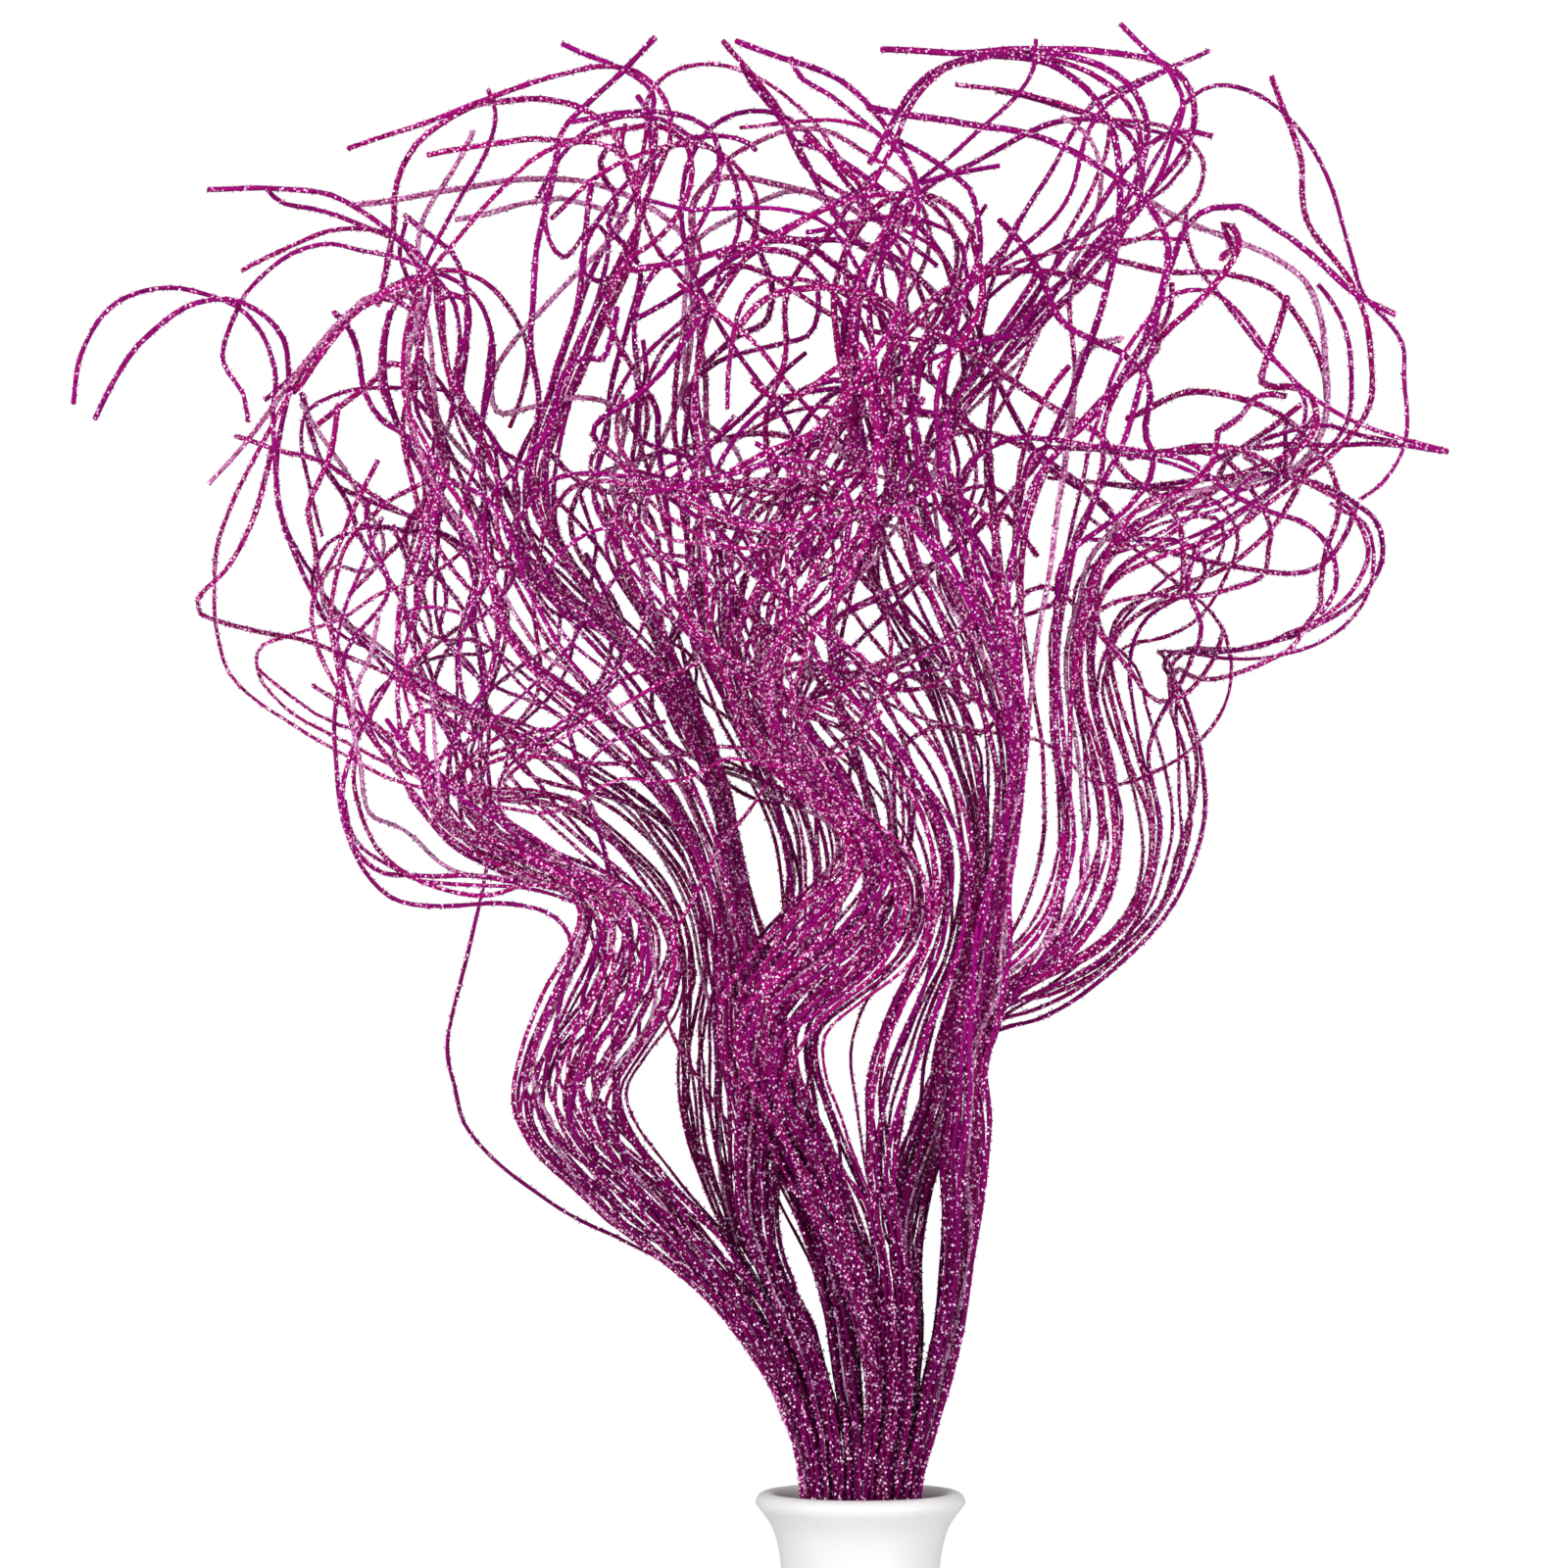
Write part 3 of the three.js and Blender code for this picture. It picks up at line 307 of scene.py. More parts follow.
# Each lock has its column and row in the neck as "cell" and fans out into loose ends. "depth" is how
# far back the lock's upper end or a tip lies. "across" runs from 1 at the lock's left edge to -1 at
# its right edge, and an end with "leaves" parts from the lock after that many rows.
LOCKS = [
    {"name": "low_curl_front", "rows": LOW_CURL, "cell": [-1, -1], "depth": -60, "ends": [
        {"across": 1, "depth": -20, "points": [
            [-132, 213], [-146, 214], [-160, 219], [-171, 228], [-178, 241], [-181, 255], [-180, 268],
            [-186, 288], [-189, 308], [-187, 326], [-181, 342], [-170, 353], [-156, 361],
        ]},
        {"across": 0.8, "depth": -50, "points": [
            [-140, 220], [-158, 219], [-171, 221], [-179, 227], [-184, 240], [-184, 254], [-180, 267],
            [-171, 284], [-163, 302], [-157, 322], [-153, 345], [-149, 366],
        ]},
        {"across": 0.3, "depth": -20, "points": [
            [-135, 226], [-149, 235], [-158, 246], [-165, 258], [-178, 274], [-190, 292], [-196, 308],
            [-194, 322], [-187, 337], [-181, 352], [-172, 368],
        ]},
        {"across": -0.2, "depth": -110, "points": [
            [-122, 228], [-138, 232], [-150, 240], [-156, 250], [-158, 262], [-165, 271], [-165, 278],
            [-158, 281], [-148, 277], [-138, 270],
        ]},
        {"across": -0.8, "depth": -140, "points": [
            [-110, 226], [-128, 231], [-144, 238], [-153, 250], [-157, 264], [-157, 280], [-163, 292],
            [-165, 306], [-163, 322], [-157, 340], [-153, 358],
        ]},
    ]},
    {"name": "low_curl_middle", "rows": LOW_CURL, "cell": [-1, 0], "depth": -5, "ends": [
        {"leaves": 5, "across": 1, "depth": -15, "points": [
            [-66, 80], [-82, 88], [-100, 97], [-118, 109], [-133, 121], [-142, 132], [-145, 145],
            [-147, 157], [-145, 170], [-142, 186], [-138, 203], [-134, 219], [-132, 235], [-132, 250],
            [-136, 268], [-142, 285], [-143, 300], [-139, 314], [-132, 326], [-124, 338],
        ]},
        {"across": 0.6, "depth": -120, "points": [
            [-134, 224], [-148, 232], [-154, 246], [-150, 262], [-140, 276], [-132, 292], [-128, 310],
            [-126, 328], [-122, 346], [-112, 360], [-98, 364], [-82, 362], [-66, 358], [-50, 350],
            [-36, 345], [-20, 346], [-4, 348], [8, 350], [20, 354], [28, 361], [31, 372], [31, 384],
        ]},
        {"across": 0.1, "depth": 110, "points": [
            [-126, 224], [-140, 231], [-148, 242], [-144, 256], [-130, 264], [-112, 268], [-98, 278],
            [-88, 292], [-84, 308], [-90, 322], [-100, 334], [-104, 348], [-96, 362], [-82, 368],
            [-64, 372], [-48, 376], [-30, 378], [-12, 372], [4, 371], [18, 371], [29, 365], [34, 355],
            [32, 343],
        ]},
        {"across": -0.4, "depth": -60, "points": [
            [-118, 228], [-134, 237], [-140, 250], [-132, 261], [-118, 263], [-100, 260], [-84, 260],
            [-68, 262], [-52, 266], [-38, 265], [-26, 260], [-14, 262], [-2, 272], [7, 286], [11, 300],
            [9, 314], [2, 325], [-10, 332], [-26, 338], [-42, 343], [-58, 347],
        ]},
        {"across": -0.9, "depth": -150, "points": [
            [-112, 228], [-126, 238], [-128, 254], [-116, 268], [-98, 282], [-84, 298], [-76, 316],
            [-78, 334], [-90, 346], [-104, 341], [-112, 328],
        ]},
    ]},
    {"name": "low_curl_back", "rows": LOW_CURL, "cell": [-1, 1], "depth": 55, "ends": [
        {"across": 0.9, "depth": 10, "points": [
            [-134, 224], [-150, 235], [-160, 250], [-172, 266], [-180, 284], [-188, 304], [-197, 324],
            [-205, 344], [-209, 364], [-207, 382], [-204, 398], [-206, 412], [-214, 421], [-226, 426],
            [-240, 423], [-252, 415], [-264, 401], [-274, 383],
        ]},
        {"across": 0.5, "depth": 60, "points": [
            [-126, 228], [-140, 240], [-146, 256], [-145, 274], [-144, 294], [-142, 312], [-136, 330],
            [-134, 350], [-135, 370], [-140, 388], [-156, 394], [-172, 394], [-186, 392], [-197, 386],
            [-200, 374], [-197, 358], [-192, 341],
        ]},
        {"across": 0, "depth": 110, "points": [
            [-124, 230], [-134, 244], [-136, 262], [-135, 282], [-130, 300], [-130, 320], [-136, 340],
            [-142, 358], [-148, 368], [-154, 358], [-160, 344], [-171, 332], [-183, 320],
        ]},
        {"across": -0.5, "depth": 40, "points": [
            [-118, 230], [-136, 242], [-142, 260], [-136, 278], [-128, 296], [-126, 314], [-134, 328],
            [-146, 340], [-160, 348], [-176, 357], [-192, 367], [-208, 372], [-223, 377],
        ]},
        {"across": -1, "depth": 30, "points": [
            [-114, 230], [-130, 244], [-140, 262], [-150, 282], [-160, 300], [-163, 320], [-160, 340],
            [-155, 360], [-160, 380], [-163, 400], [-160, 420], [-154, 436], [-163, 446], [-176, 451],
            [-190, 450], [-205, 444], [-221, 436],
        ]},
    ]},
    {"name": "left_sweep", "rows": LEFT_SWEEP, "cell": [0, 1], "depth": 40, "ends": [
        {"across": 1, "depth": -10, "points": [
            [-132, 248], [-150, 250], [-168, 255], [-186, 264], [-202, 273], [-217, 284], [-226, 293],
            [-229, 306], [-231, 322], [-230, 336], [-225, 350], [-218, 364], [-211, 378], [-203, 394],
            [-190, 411], [-177, 425], [-163, 432],
        ]},
        {"across": 0.6, "depth": 20, "points": [
            [-130, 251], [-150, 254], [-170, 260], [-190, 271], [-206, 281], [-217, 292], [-219.5, 296],
            [-219, 300], [-215, 302], [-198, 307], [-184, 312], [-172, 320], [-158, 325], [-148, 331],
            [-138, 340],
        ]},
        {"across": 0, "depth": -15, "points": [
            [-122, 268], [-140, 279], [-156, 286], [-170, 293], [-190, 301], [-212, 307], [-230, 311],
            [-238, 313], [-241, 315.5], [-239, 318.5], [-233, 323], [-226, 330], [-218, 345], [-213, 360],
            [-210, 374],
        ]},
        {"across": -0.5, "depth": -20, "points": [
            [-118, 271], [-140, 281], [-155, 288], [-168, 297], [-181, 308], [-192, 321], [-201, 336],
            [-207, 351], [-210, 368], [-210, 385], [-209, 400], [-213, 412], [-222, 423], [-236, 428],
            [-250, 430], [-263, 426], [-272, 418], [-279, 403], [-281, 388],
        ]},
        {"across": -1, "depth": 100, "points": [
            [-115, 272], [-140, 279], [-154, 286], [-161, 296], [-160, 306], [-156, 320], [-154, 338],
            [-153, 356], [-150, 372], [-146, 388], [-148, 404],
        ]},
    ]},
    {"name": "centre_sweep", "rows": CENTRE_SWEEP, "cell": [0, 0], "depth": -30, "ends": [
        {"across": 1, "depth": -90, "points": [
            [-122, 298], [-130, 313], [-132, 330], [-138, 346], [-147, 359], [-155, 374], [-163, 390],
            [-163, 408], [-159, 424], [-151, 439], [-140, 452], [-128, 465], [-115, 477], [-103, 482],
            [-92, 482], [-84, 476], [-80, 465],
        ]},
        {"across": 0.6, "depth": 60, "points": [
            [-118, 297], [-128, 312], [-133, 328], [-142, 341], [-150, 354], [-160, 371], [-169, 390],
            [-171, 408], [-167, 423], [-158, 433], [-146, 436], [-133, 431], [-124, 420], [-119, 407],
            [-120, 393], [-125, 380],
        ]},
        {"across": 0.2, "depth": -40, "points": [
            [-112, 298], [-124, 314], [-134, 332], [-146, 350], [-156, 368], [-162, 388], [-161, 408],
            [-157, 423], [-160, 432], [-170, 431], [-182, 421], [-194, 408], [-206, 393], [-219, 376],
            [-233, 360],
        ]},
        {"across": -0.3, "depth": 80, "points": [
            [-104, 304], [-117, 320], [-128, 338], [-134, 356], [-136, 374], [-133, 392], [-131, 410],
            [-136, 425], [-148, 434], [-162, 433], [-175, 426], [-187, 415], [-200, 401], [-213, 390],
        ]},
        {"across": -0.9, "depth": -20, "points": [
            [-94, 308], [-110, 322], [-122, 340], [-132, 358], [-141, 375], [-146, 392], [-143, 410],
            [-146, 426], [-155, 436], [-168, 441], [-180, 444], [-192, 446], [-204, 442], [-214, 434],
            [-222, 424], [-227, 411], [-227, 402], [-221, 392], [-218, 386], [-219, 382],
        ]},
    ]},
    {"name": "right_curl", "rows": RIGHT_CURL, "cell": [0, -1], "depth": -50, "ends": [
        {"across": 1, "depth": -110, "points": [
            [-37, 300], [-33, 308], [-20, 315], [-8, 327], [-4, 342], [-4, 356], [-12, 366], [-26, 369],
            [-42, 364], [-60, 360], [-76, 356],
        ]},
        {"across": 0.6, "depth": -80, "points": [
            [-34, 304], [-36, 318], [-22, 332], [-6, 346], [4, 362], [9, 380], [10, 398], [10, 412],
            [4, 426], [-8, 438], [-22, 446], [-40, 446], [-60, 440], [-82, 436],
        ]},
        {"across": 0, "depth": -40, "points": [
            [-22, 302], [-38, 310], [-46, 325], [-44, 340], [-32, 354], [-14, 362], [-8, 352], [-14, 338],
            [-28, 322],
        ]},
        {"across": -0.6, "depth": 20, "points": [
            [-9, 303], [-14, 308], [-14.5, 311.5], [-11, 314.5], [0, 317.5], [18, 326], [32, 338],
            [40, 354], [41, 370], [35, 381], [20, 384], [2, 386], [-14, 388], [-30, 384], [-44, 376],
        ]},
        {"across": -1, "depth": -30, "points": [
            [-13, 305], [-18, 307], [-19.5, 309.5], [-16, 312], [-6, 314], [8, 320], [22, 329], [36, 342],
            [45, 357], [46, 370], [41, 380], [30, 384], [12, 386], [-6, 382], [-22, 374], [-40, 365],
            [-56, 361],
        ]},
    ]},
    {"name": "right_straight", "rows": RIGHT_STRAIGHT, "cell": [1, 0], "depth": 0, "ends": [
        {"across": 1, "depth": -30, "points": [
            [-76, 295], [-90, 313], [-104, 331], [-114, 348], [-117, 366], [-112, 384], [-105, 402],
            [-95, 422], [-87, 438], [-80, 452], [-75, 466], [-70, 478], [-68, 488], [-71, 499],
            [-79, 507], [-90, 509], [-104, 507], [-120, 502], [-140, 495], [-160, 487], [-183, 480],
        ]},
        {"across": 0.5, "depth": 40, "points": [
            [-78, 297], [-92, 315], [-106, 334], [-116, 352], [-116, 370], [-110, 388], [-102, 407],
            [-93, 425], [-84, 442], [-77, 459], [-74, 474], [-75, 488], [-74, 499], [-80, 505],
            [-92, 511], [-106, 517],
        ]},
        {"across": 0, "depth": 0, "points": [
            [-74, 292], [-88, 310], [-102, 328], [-113, 346], [-115, 364], [-108, 383], [-100, 402],
            [-91, 420], [-84, 436], [-79, 452], [-79, 468], [-77, 484], [-76, 497], [-69, 506],
            [-57, 510], [-44, 508], [-30, 501], [-17, 489], [-4, 472], [8, 455], [18, 450], [28, 443],
            [33, 431], [39, 418], [41, 408], [38, 395], [32, 386],
        ]},
        {"across": -0.5, "depth": -60, "points": [
            [-74, 296], [-92, 316], [-108, 336], [-118, 356], [-117, 374], [-115, 392], [-118, 410],
            [-117, 428], [-115, 445], [-112, 460], [-109, 474], [-106, 487], [-97, 496], [-86, 506],
            [-73, 519],
        ]},
        {"across": -1, "depth": 90, "points": [
            [-68, 290], [-84, 308], [-98, 326], [-110, 344], [-113, 362], [-108, 380], [-100, 398],
            [-92, 416], [-85, 432], [-80, 448], [-79, 462], [-83, 476], [-90, 487], [-99, 494],
            [-112, 497], [-128, 496], [-140, 494], [-152, 487], [-161, 478], [-166, 466], [-167, 452],
            [-170, 436], [-172, 424],
        ]},
    ]},
    {"name": "right_inner", "rows": RIGHT_INNER, "cell": [1, -1], "depth": 30, "ends": [
        {"across": -0.5, "depth": -20, "points": [
            [-46, 320], [-47, 336], [-40, 350], [-30, 364], [-24, 378], [-12, 390], [4, 397], [18, 402],
            [34, 408], [56, 413],
        ]},
        {"across": 1, "depth": 100, "points": [
            [-58, 320], [-62, 340], [-64, 360], [-66, 380], [-66, 400], [-62, 418], [-56, 432],
            [-45, 438], [-32, 434], [-20, 426], [-6, 418], [10, 413], [30, 411], [55, 413],
        ]},
        {"across": 0.5, "depth": 60, "points": [
            [-56, 320], [-58, 340], [-57, 358], [-55, 378], [-55, 398], [-58, 416], [-60, 434],
            [-60, 448], [-60, 460], [-54, 468], [-45, 470], [-28, 467], [-10, 461], [6, 454], [22, 452],
        ]},
        {"across": -1, "depth": -10, "points": [
            [-44, 318], [-40, 330], [-28, 342], [-14, 354], [-2, 368], [8, 384], [16, 396], [22, 408],
            [24, 418], [20, 432], [13, 446], [3, 458], [-10, 466], [-20, 474], [-25, 484], [-29, 493],
            [-38, 505], [-49, 518],
        ]},
        {"across": 0, "depth": -100, "points": [
            [-50, 318], [-52, 334], [-46, 350], [-34, 362], [-20, 372], [-6, 380], [6, 388], [11, 400],
            [9, 414], [3, 428], [-2, 440], [-12, 452], [-25, 457], [-42, 458], [-60, 458], [-78, 461],
        ]},
    ]},
    {"name": "middle_straight", "rows": RIGHT_STRAIGHT, "cell": [1, 1], "depth": 60, "ends": [
        {"across": 0.8, "depth": 50, "points": [
            [-76, 295], [-92, 310], [-108, 325], [-120, 342], [-128, 360], [-138, 378], [-150, 394],
            [-159, 410], [-160, 426], [-154, 441], [-146, 455], [-139, 468], [-133, 480], [-130, 491],
            [-133, 501],
        ]},
        {"across": -1, "depth": 120, "points": [
            [-66, 292], [-74, 310], [-78, 328], [-80, 346], [-76, 364], [-68, 382], [-62, 400],
            [-60, 418], [-60, 434], [-63, 448], [-72, 457], [-86, 464], [-102, 468], [-120, 469],
            [-140, 466], [-160, 462], [-181, 459],
        ]},
        {"across": -0.4, "depth": -120, "points": [
            [-68, 294], [-78, 312], [-86, 330], [-86, 348], [-80, 366], [-76, 384], [-82, 402],
            [-90, 418], [-93, 430], [-84, 440], [-72, 448], [-64, 458], [-60, 470], [-62, 481],
            [-71, 487], [-85, 487], [-100, 483], [-118, 483], [-136, 481], [-154, 477],
        ]},
        {"across": 0.4, "depth": 20, "points": [
            [-78, 298], [-98, 312], [-116, 324], [-130, 338], [-140, 356], [-148, 374], [-156, 392],
            [-158, 410], [-154, 426], [-156, 440], [-167, 450], [-179, 458], [-192, 464], [-212, 465],
            [-233, 465],
        ]},
        {"across": 0, "depth": 60, "points": [
            [-74, 300], [-92, 318], [-110, 334], [-122, 350], [-132, 366], [-140, 384], [-148, 402],
            [-150, 420], [-153, 436], [-164, 446], [-180, 453], [-196, 458], [-207, 460], [-213, 466],
        ]},
    ]},
]


def mix(a, b, t):
    """Value between a and b."""
    return a + (b - a) * t


def ease(t):
    """Soft rise from 0 to 1 while t goes from 0 to 1."""
    k = min(max(t, 0.0), 1.0)
    return k * k * (3 - 2 * k)


def lengths(points):
    """Distance along a line at each of its points."""
    sums = [0.0]
    for a, b in zip(points, points[1:]):
        sums.append(sums[-1] + math.dist(a, b))
    return sums


def lean_over(point, bunch):
    """A point of the front view, turned with its bunch."""
    angle = math.radians(bunch["lean"])
    dx = point[0] - LEAN_PIVOT[0]
    dz = point[1] - LEAN_PIVOT[1]
    return (
        LEAN_PIVOT[0] + dx * math.cos(angle) + dz * math.sin(angle),
        LEAN_PIVOT[1] - dx * math.sin(angle) + dz * math.cos(angle),
    )


def place_in_depth(point, y):
    """A point of the front view, moved back by y and scaled so that it still shows in its place."""
    scale = (EYE_DISTANCE + y) / EYE_DISTANCE
    x = EYE_X + (point[0] - EYE_X) * scale
    return Vector((x, y, VASE_HEIGHT + EYE_Z + (point[1] - EYE_Z) * scale))


def risen(reach, rise):
    """How far something has grown at a reach."""
    start, stretch = rise
    return ease((reach - start) / stretch)


def depth_along(lock, end, order, bunch, s, lock_length, total):
    """Depth of a strand at the distance s from the mouth."""
    in_lock = mix(lock["cell"][1] * MOUTH_PITCH, lock["depth"], ease(s / lock_length))
    beyond = ease((s - lock_length) / max(total - lock_length, 1))
    base = mix(in_lock, end["depth"], beyond)
    spread = MOUTH_STAGGER[order] * mix(1, LOCK_SPREAD, ease(s / lock_length))
    phase = bunch["phase"] + COLUMN_PHASE * lock["cell"][0] + ROW_PHASE * lock["cell"][1]
    turn = 2 * math.pi * s / WAVE_LENGTH + phase + order * beyond
    wave = WAVE * ease((s - WAVE_START) / WAVE_LENGTH) * math.sin(turn)
    back = bunch["back"] * ease(s / BACK_START)
    return bunch["mirror"] * (base + spread + wave) + back


def smooth(points, step):
    """A smooth line through the points, as many short steps, and where along it each point is."""
    ends = [2 * points[0] - points[1], *points, 2 * points[-1] - points[-2]]
    line = [points[0]]
    stops = [0]
    for p0, p1, p2, p3 in zip(ends, ends[1:], ends[2:], ends[3:]):
        d0, d1, d2 = (math.sqrt(max((b - a).length, 1e-6)) for a, b in ((p0, p1), (p1, p2), (p2, p3)))
        out = ((p1 - p0) / d0 - (p2 - p0) / (d0 + d1) + (p2 - p1) / d1) * d1
        into = ((p2 - p1) / d1 - (p3 - p1) / (d1 + d2) + (p3 - p2) / d2) * d1
        pieces = max(2, round((p2 - p1).length / step) + 1)
        line += interpolate_bezier(p1, p1 + out / 3, p2 - into / 3, p2, pieces)[1:]
        stops.append(len(line) - 1)
    return line, stops


def evenly(points, step):
    """The same line with its points at equal distances."""
    sums = lengths(points)
    count = round(sums[-1] / step)
    line = []
    i = 0
    for n in range(count + 1):
        s = sums[-1] * n / count
        while i < len(points) - 2 and sums[i + 1] < s:
            i += 1
        share = (s - sums[i]) / max(sums[i + 1] - sums[i], 1e-9)
        line.append(points[i].lerp(points[i + 1], share))
    return line


class Route:
    """Line of a strand above the mouth. Its reach is 0 at the mouth, 1 where the lock fans out
    and 2 at the tip."""

    def __init__(self, points, fork):
        self.points = points
        self.sums = lengths(points)
        self.fork = self.sums[fork]
        self.length = self.sums[-1]
        self.last = 0

    def distance(self, reach):
        """Distance from the mouth at a reach."""
        if reach < 1:
            return self.fork * reach
        return mix(self.fork, self.length, reach - 1)

    def at(self, reach):
        """Place at a reach, found from the place asked for last."""
        s = min(self.distance(reach), self.length)
        if self.sums[self.last] > s:
            self.last = 0
        while self.last < len(self.sums) - 2 and self.sums[self.last + 1] < s:
            self.last += 1
        i = self.last
        share = (s - self.sums[i]) / (self.sums[i + 1] - self.sums[i])
        return self.points[i].lerp(self.points[i + 1], share)


def traced_route(lock, end, order, bunch):
    """Route of a strand that follows its own points."""
    rows = lock["rows"]
    k = (1 + end["across"]) / 2
    edge = [(mix(xr, xl, k), mix(zr, zl, k)) for xl, zl, xr, zr in rows]
    lock_length = lengths(edge)[-1]
    followed = edge[: end.get("leaves", len(edge))]
    route = [*followed, *end["points"]]
    sums = lengths(route)
    points = []
    for point, s in zip(route, sums):
        y = depth_along(lock, end, order, bunch, s, lock_length, sums[-1])
        points.append(place_in_depth(lean_over(point, bunch), y))
    line, stops = smooth(points, ROUTE_STEP)
    return Route(line, stops[len(followed) - 1])


def sorted_ends(lock):
    """The loose ends of a lock from its left edge to its right."""
    return sorted(lock["ends"], key=lambda end: -end["across"])


def traced_routes(lock, bunch):
    """The five routes of a lock that follow their own points, from its left edge to its right."""
    ends = enumerate(sorted_ends(lock))
    return [traced_route(lock, end, order, bunch) for order, end in ends]


def in_the_lock(lock, bunch):
    """The traced routes of a lock without those that leave it early."""
    traced = zip(traced_routes(lock, bunch), sorted_ends(lock))
    return [route for route, end in traced if "leaves" not in end]


def relaxed(points, rounds):
    """The same line with its turns eased; its two ends stay."""
    line = points
    for _ in range(rounds):
        inner = [(a + 2 * b + c) / 4 for a, b, c in zip(line, line[1:], line[2:])]
        line = [line[0], *inner, line[-1]]
    return line


def unbent(points):
    """The same line, eased wherever it turns too sharply for a dried strand."""
    line = list(points)
    for _ in range(BEND_ROUNDS):
        for i in range(FIXED_STEPS, len(line) - 1):
            into = line[i] - line[i - 1]
            out = line[i + 1] - line[i]
            if into.dot(out) < SHARPEST * into.length * out.length:
                line[i] = (line[i - 1] + line[i + 1]) / 2
    return evenly(line, STRAND_STEP)


def folded(position, last):
    """A position among the strands of a lock, turned back at the lock's two edges."""
    return last - abs(last - abs(position))


def across(parents, position, reach):
    """Place in a lock at a position from 0, its first parent strand, up to its last one."""
    whole = min(int(position), len(parents) - 2)
    return parents[whole].at(reach).lerp(parents[whole + 1].at(reach), position - whole)


def nearest(route, others):
    """The few strands of other locks that run nearest to one, as seen from the front."""

    def apart(other):
        pairs = ((route.at(reach), other.at(reach)) for reach in NEAR_REACHES)
        return sum(math.dist((a.x, a.z), (b.x, b.z)) for a, b in pairs)

    return sorted(others, key=apart)[:NEIGHBOURS]


def cut_across(points, first, last):
    """Changes a line so that it sweeps from one of its points to another in one easy curve."""
    a, b = points[first], points[last]
    pull = (b - a).length / 3
    out = (a - points[first - 1]).normalized() * pull
    into = (points[last + 1] - b).normalized() * pull
    points[first : last + 1] = interpolate_bezier(a, a + out, b - into, b, last - first + 1)


def goes_over(follows, parents, others, draw):
    """The neighbour to which a strand leans over in its lock and how far it does, then the strand
    to which it goes over in the crown and how far it does."""
    neighbour = draw.choice(nearest(follows, others))
    leans_by = draw.uniform(*LEANS_OVER) if draw.random() < BETWEEN_SHARE else 0
    stray = neighbour if leans_by else draw.choice(parents)
    strays_by = draw.choice((leans_by, 1) if leans_by else STRAYS_BY)
    if draw.random() < STRAY_SHARE:
        stray = draw.choice(others)
        strays_by = 1
    return neighbour, leans_by, stray, strays_by


def beside(point, along, hint, spread, away):
    """Offset to one side of a strand's way, with little that would take it out of the crown."""
    offset = (hint - along * hint.dot(along)) * 2 * spread * away
    outward = (point - Vector(CROWN_CENTRE)).normalized()
    return offset - outward * max(offset.dot(outward), 0) * KEPT_IN


def companion_route(parents, gap, others, draw):
    """Route of a strand that starts in its lock among the traced ones, and slowly crosses them or
    leaves them for a lock nearby. In the crown it keeps beside one strand or goes over to another."""
    last = len(parents) - 1
    starts = gap + draw.uniform(*START_IN_GAP)
    stops = folded(starts + draw.uniform(-DRIFT, DRIFT), last)
    follows = parents[round(stops)]
    neighbour, leans_by, stray, strays_by = goes_over(follows, parents, others, draw)
    spread = draw.uniform(*(CLOSE_SPREAD if draw.random() < CLOSE_SHARE else CROWN_SPREAD))
    depth = draw.uniform(-LOCK_DEPTH, LOCK_DEPTH)
    place = Vector((draw.uniform(0, NOISE_SPAN), draw.uniform(0, NOISE_SPAN), 0))
    end = draw.uniform(*COMPANION_REACH)
    leaves = (draw.uniform(*LEAVING_REACH), LEAVING_STRETCH)
    steps = round(follows.length / ROUTE_STEP)
    points = []
    before = parents[0].at(0)
    for i in range(steps + 1):
        reach = end * i / steps
        weave = noise.noise(place + Vector((0, WEAVE_PLACE, reach * WEAVE_PACE)))
        weave *= WEAVE * risen(reach, WEAVE_RISE)
        position = folded(mix(starts, stops, ease(reach)) + weave, last)
        over = leans_by * risen(reach, LEAN_RISE)
        inside = across(parents, position, reach).lerp(neighbour.at(reach), over)
        outside = follows.at(reach).lerp(stray.at(reach), strays_by)
        point = inside.lerp(outside, risen(reach, leaves))
        along = (point - before).normalized() if i else Vector((0, 0, 1))
        before = point.copy()
        away = risen(reach, SPREAD_RISE)
        hint = noise.noise_vector(place + Vector((0, 0, reach * SWAY)))
        offset = beside(point, along, hint, spread, away)
        fade = risen(reach, DEPTH_RISE) * (1 - CROWN_DEPTH * away)
        points.append(point + offset + Vector((0, depth * fade, 0)))
    if draw.random() < CUT_SHARE:
        reaches = [draw.uniform(*ends) / end for ends in CUT_REACHES]
        cut_across(points, *(round(steps * min(reach, LAST_CUT)) for reach in reaches))
    return Route(relaxed(points, EASING), round(steps / end))


def in_vase(lock, slot, bunch):
    """Points of a strand inside the vase: in the butt, just above it, in the tie, in the neck."""
    column, row = lock["cell"][0], lock["cell"][1] * bunch["mirror"]
    u = (slot[0] - (SLOT_COLUMNS - 1) / 2) * SLOT_PITCH[0]
    v = (slot[1] - (SLOT_ROWS - 1) / 2) * SLOT_PITCH[1]
    butt_top = BUTT_BASE + BUTT_HEIGHT
    places = (
        (BUNCH_OFFSET, BUTT_PITCH, BUTT_PITCH, butt_top - ROOT_DEPTH),
        (BUNCH_OFFSET, BUTT_PITCH, BUTT_PITCH, butt_top + 1),
        (BUNCH_OFFSET, TIE_PITCH, TIE_PITCH, TIE_HEIGHT),
        (NECK_OFFSET, *NECK_PITCH, NECK[1]),
    )
    return [
        Vector((bunch["side"] * centre + column * px + u, row * py + v, z))
        for centre, px, py, z in places
    ]


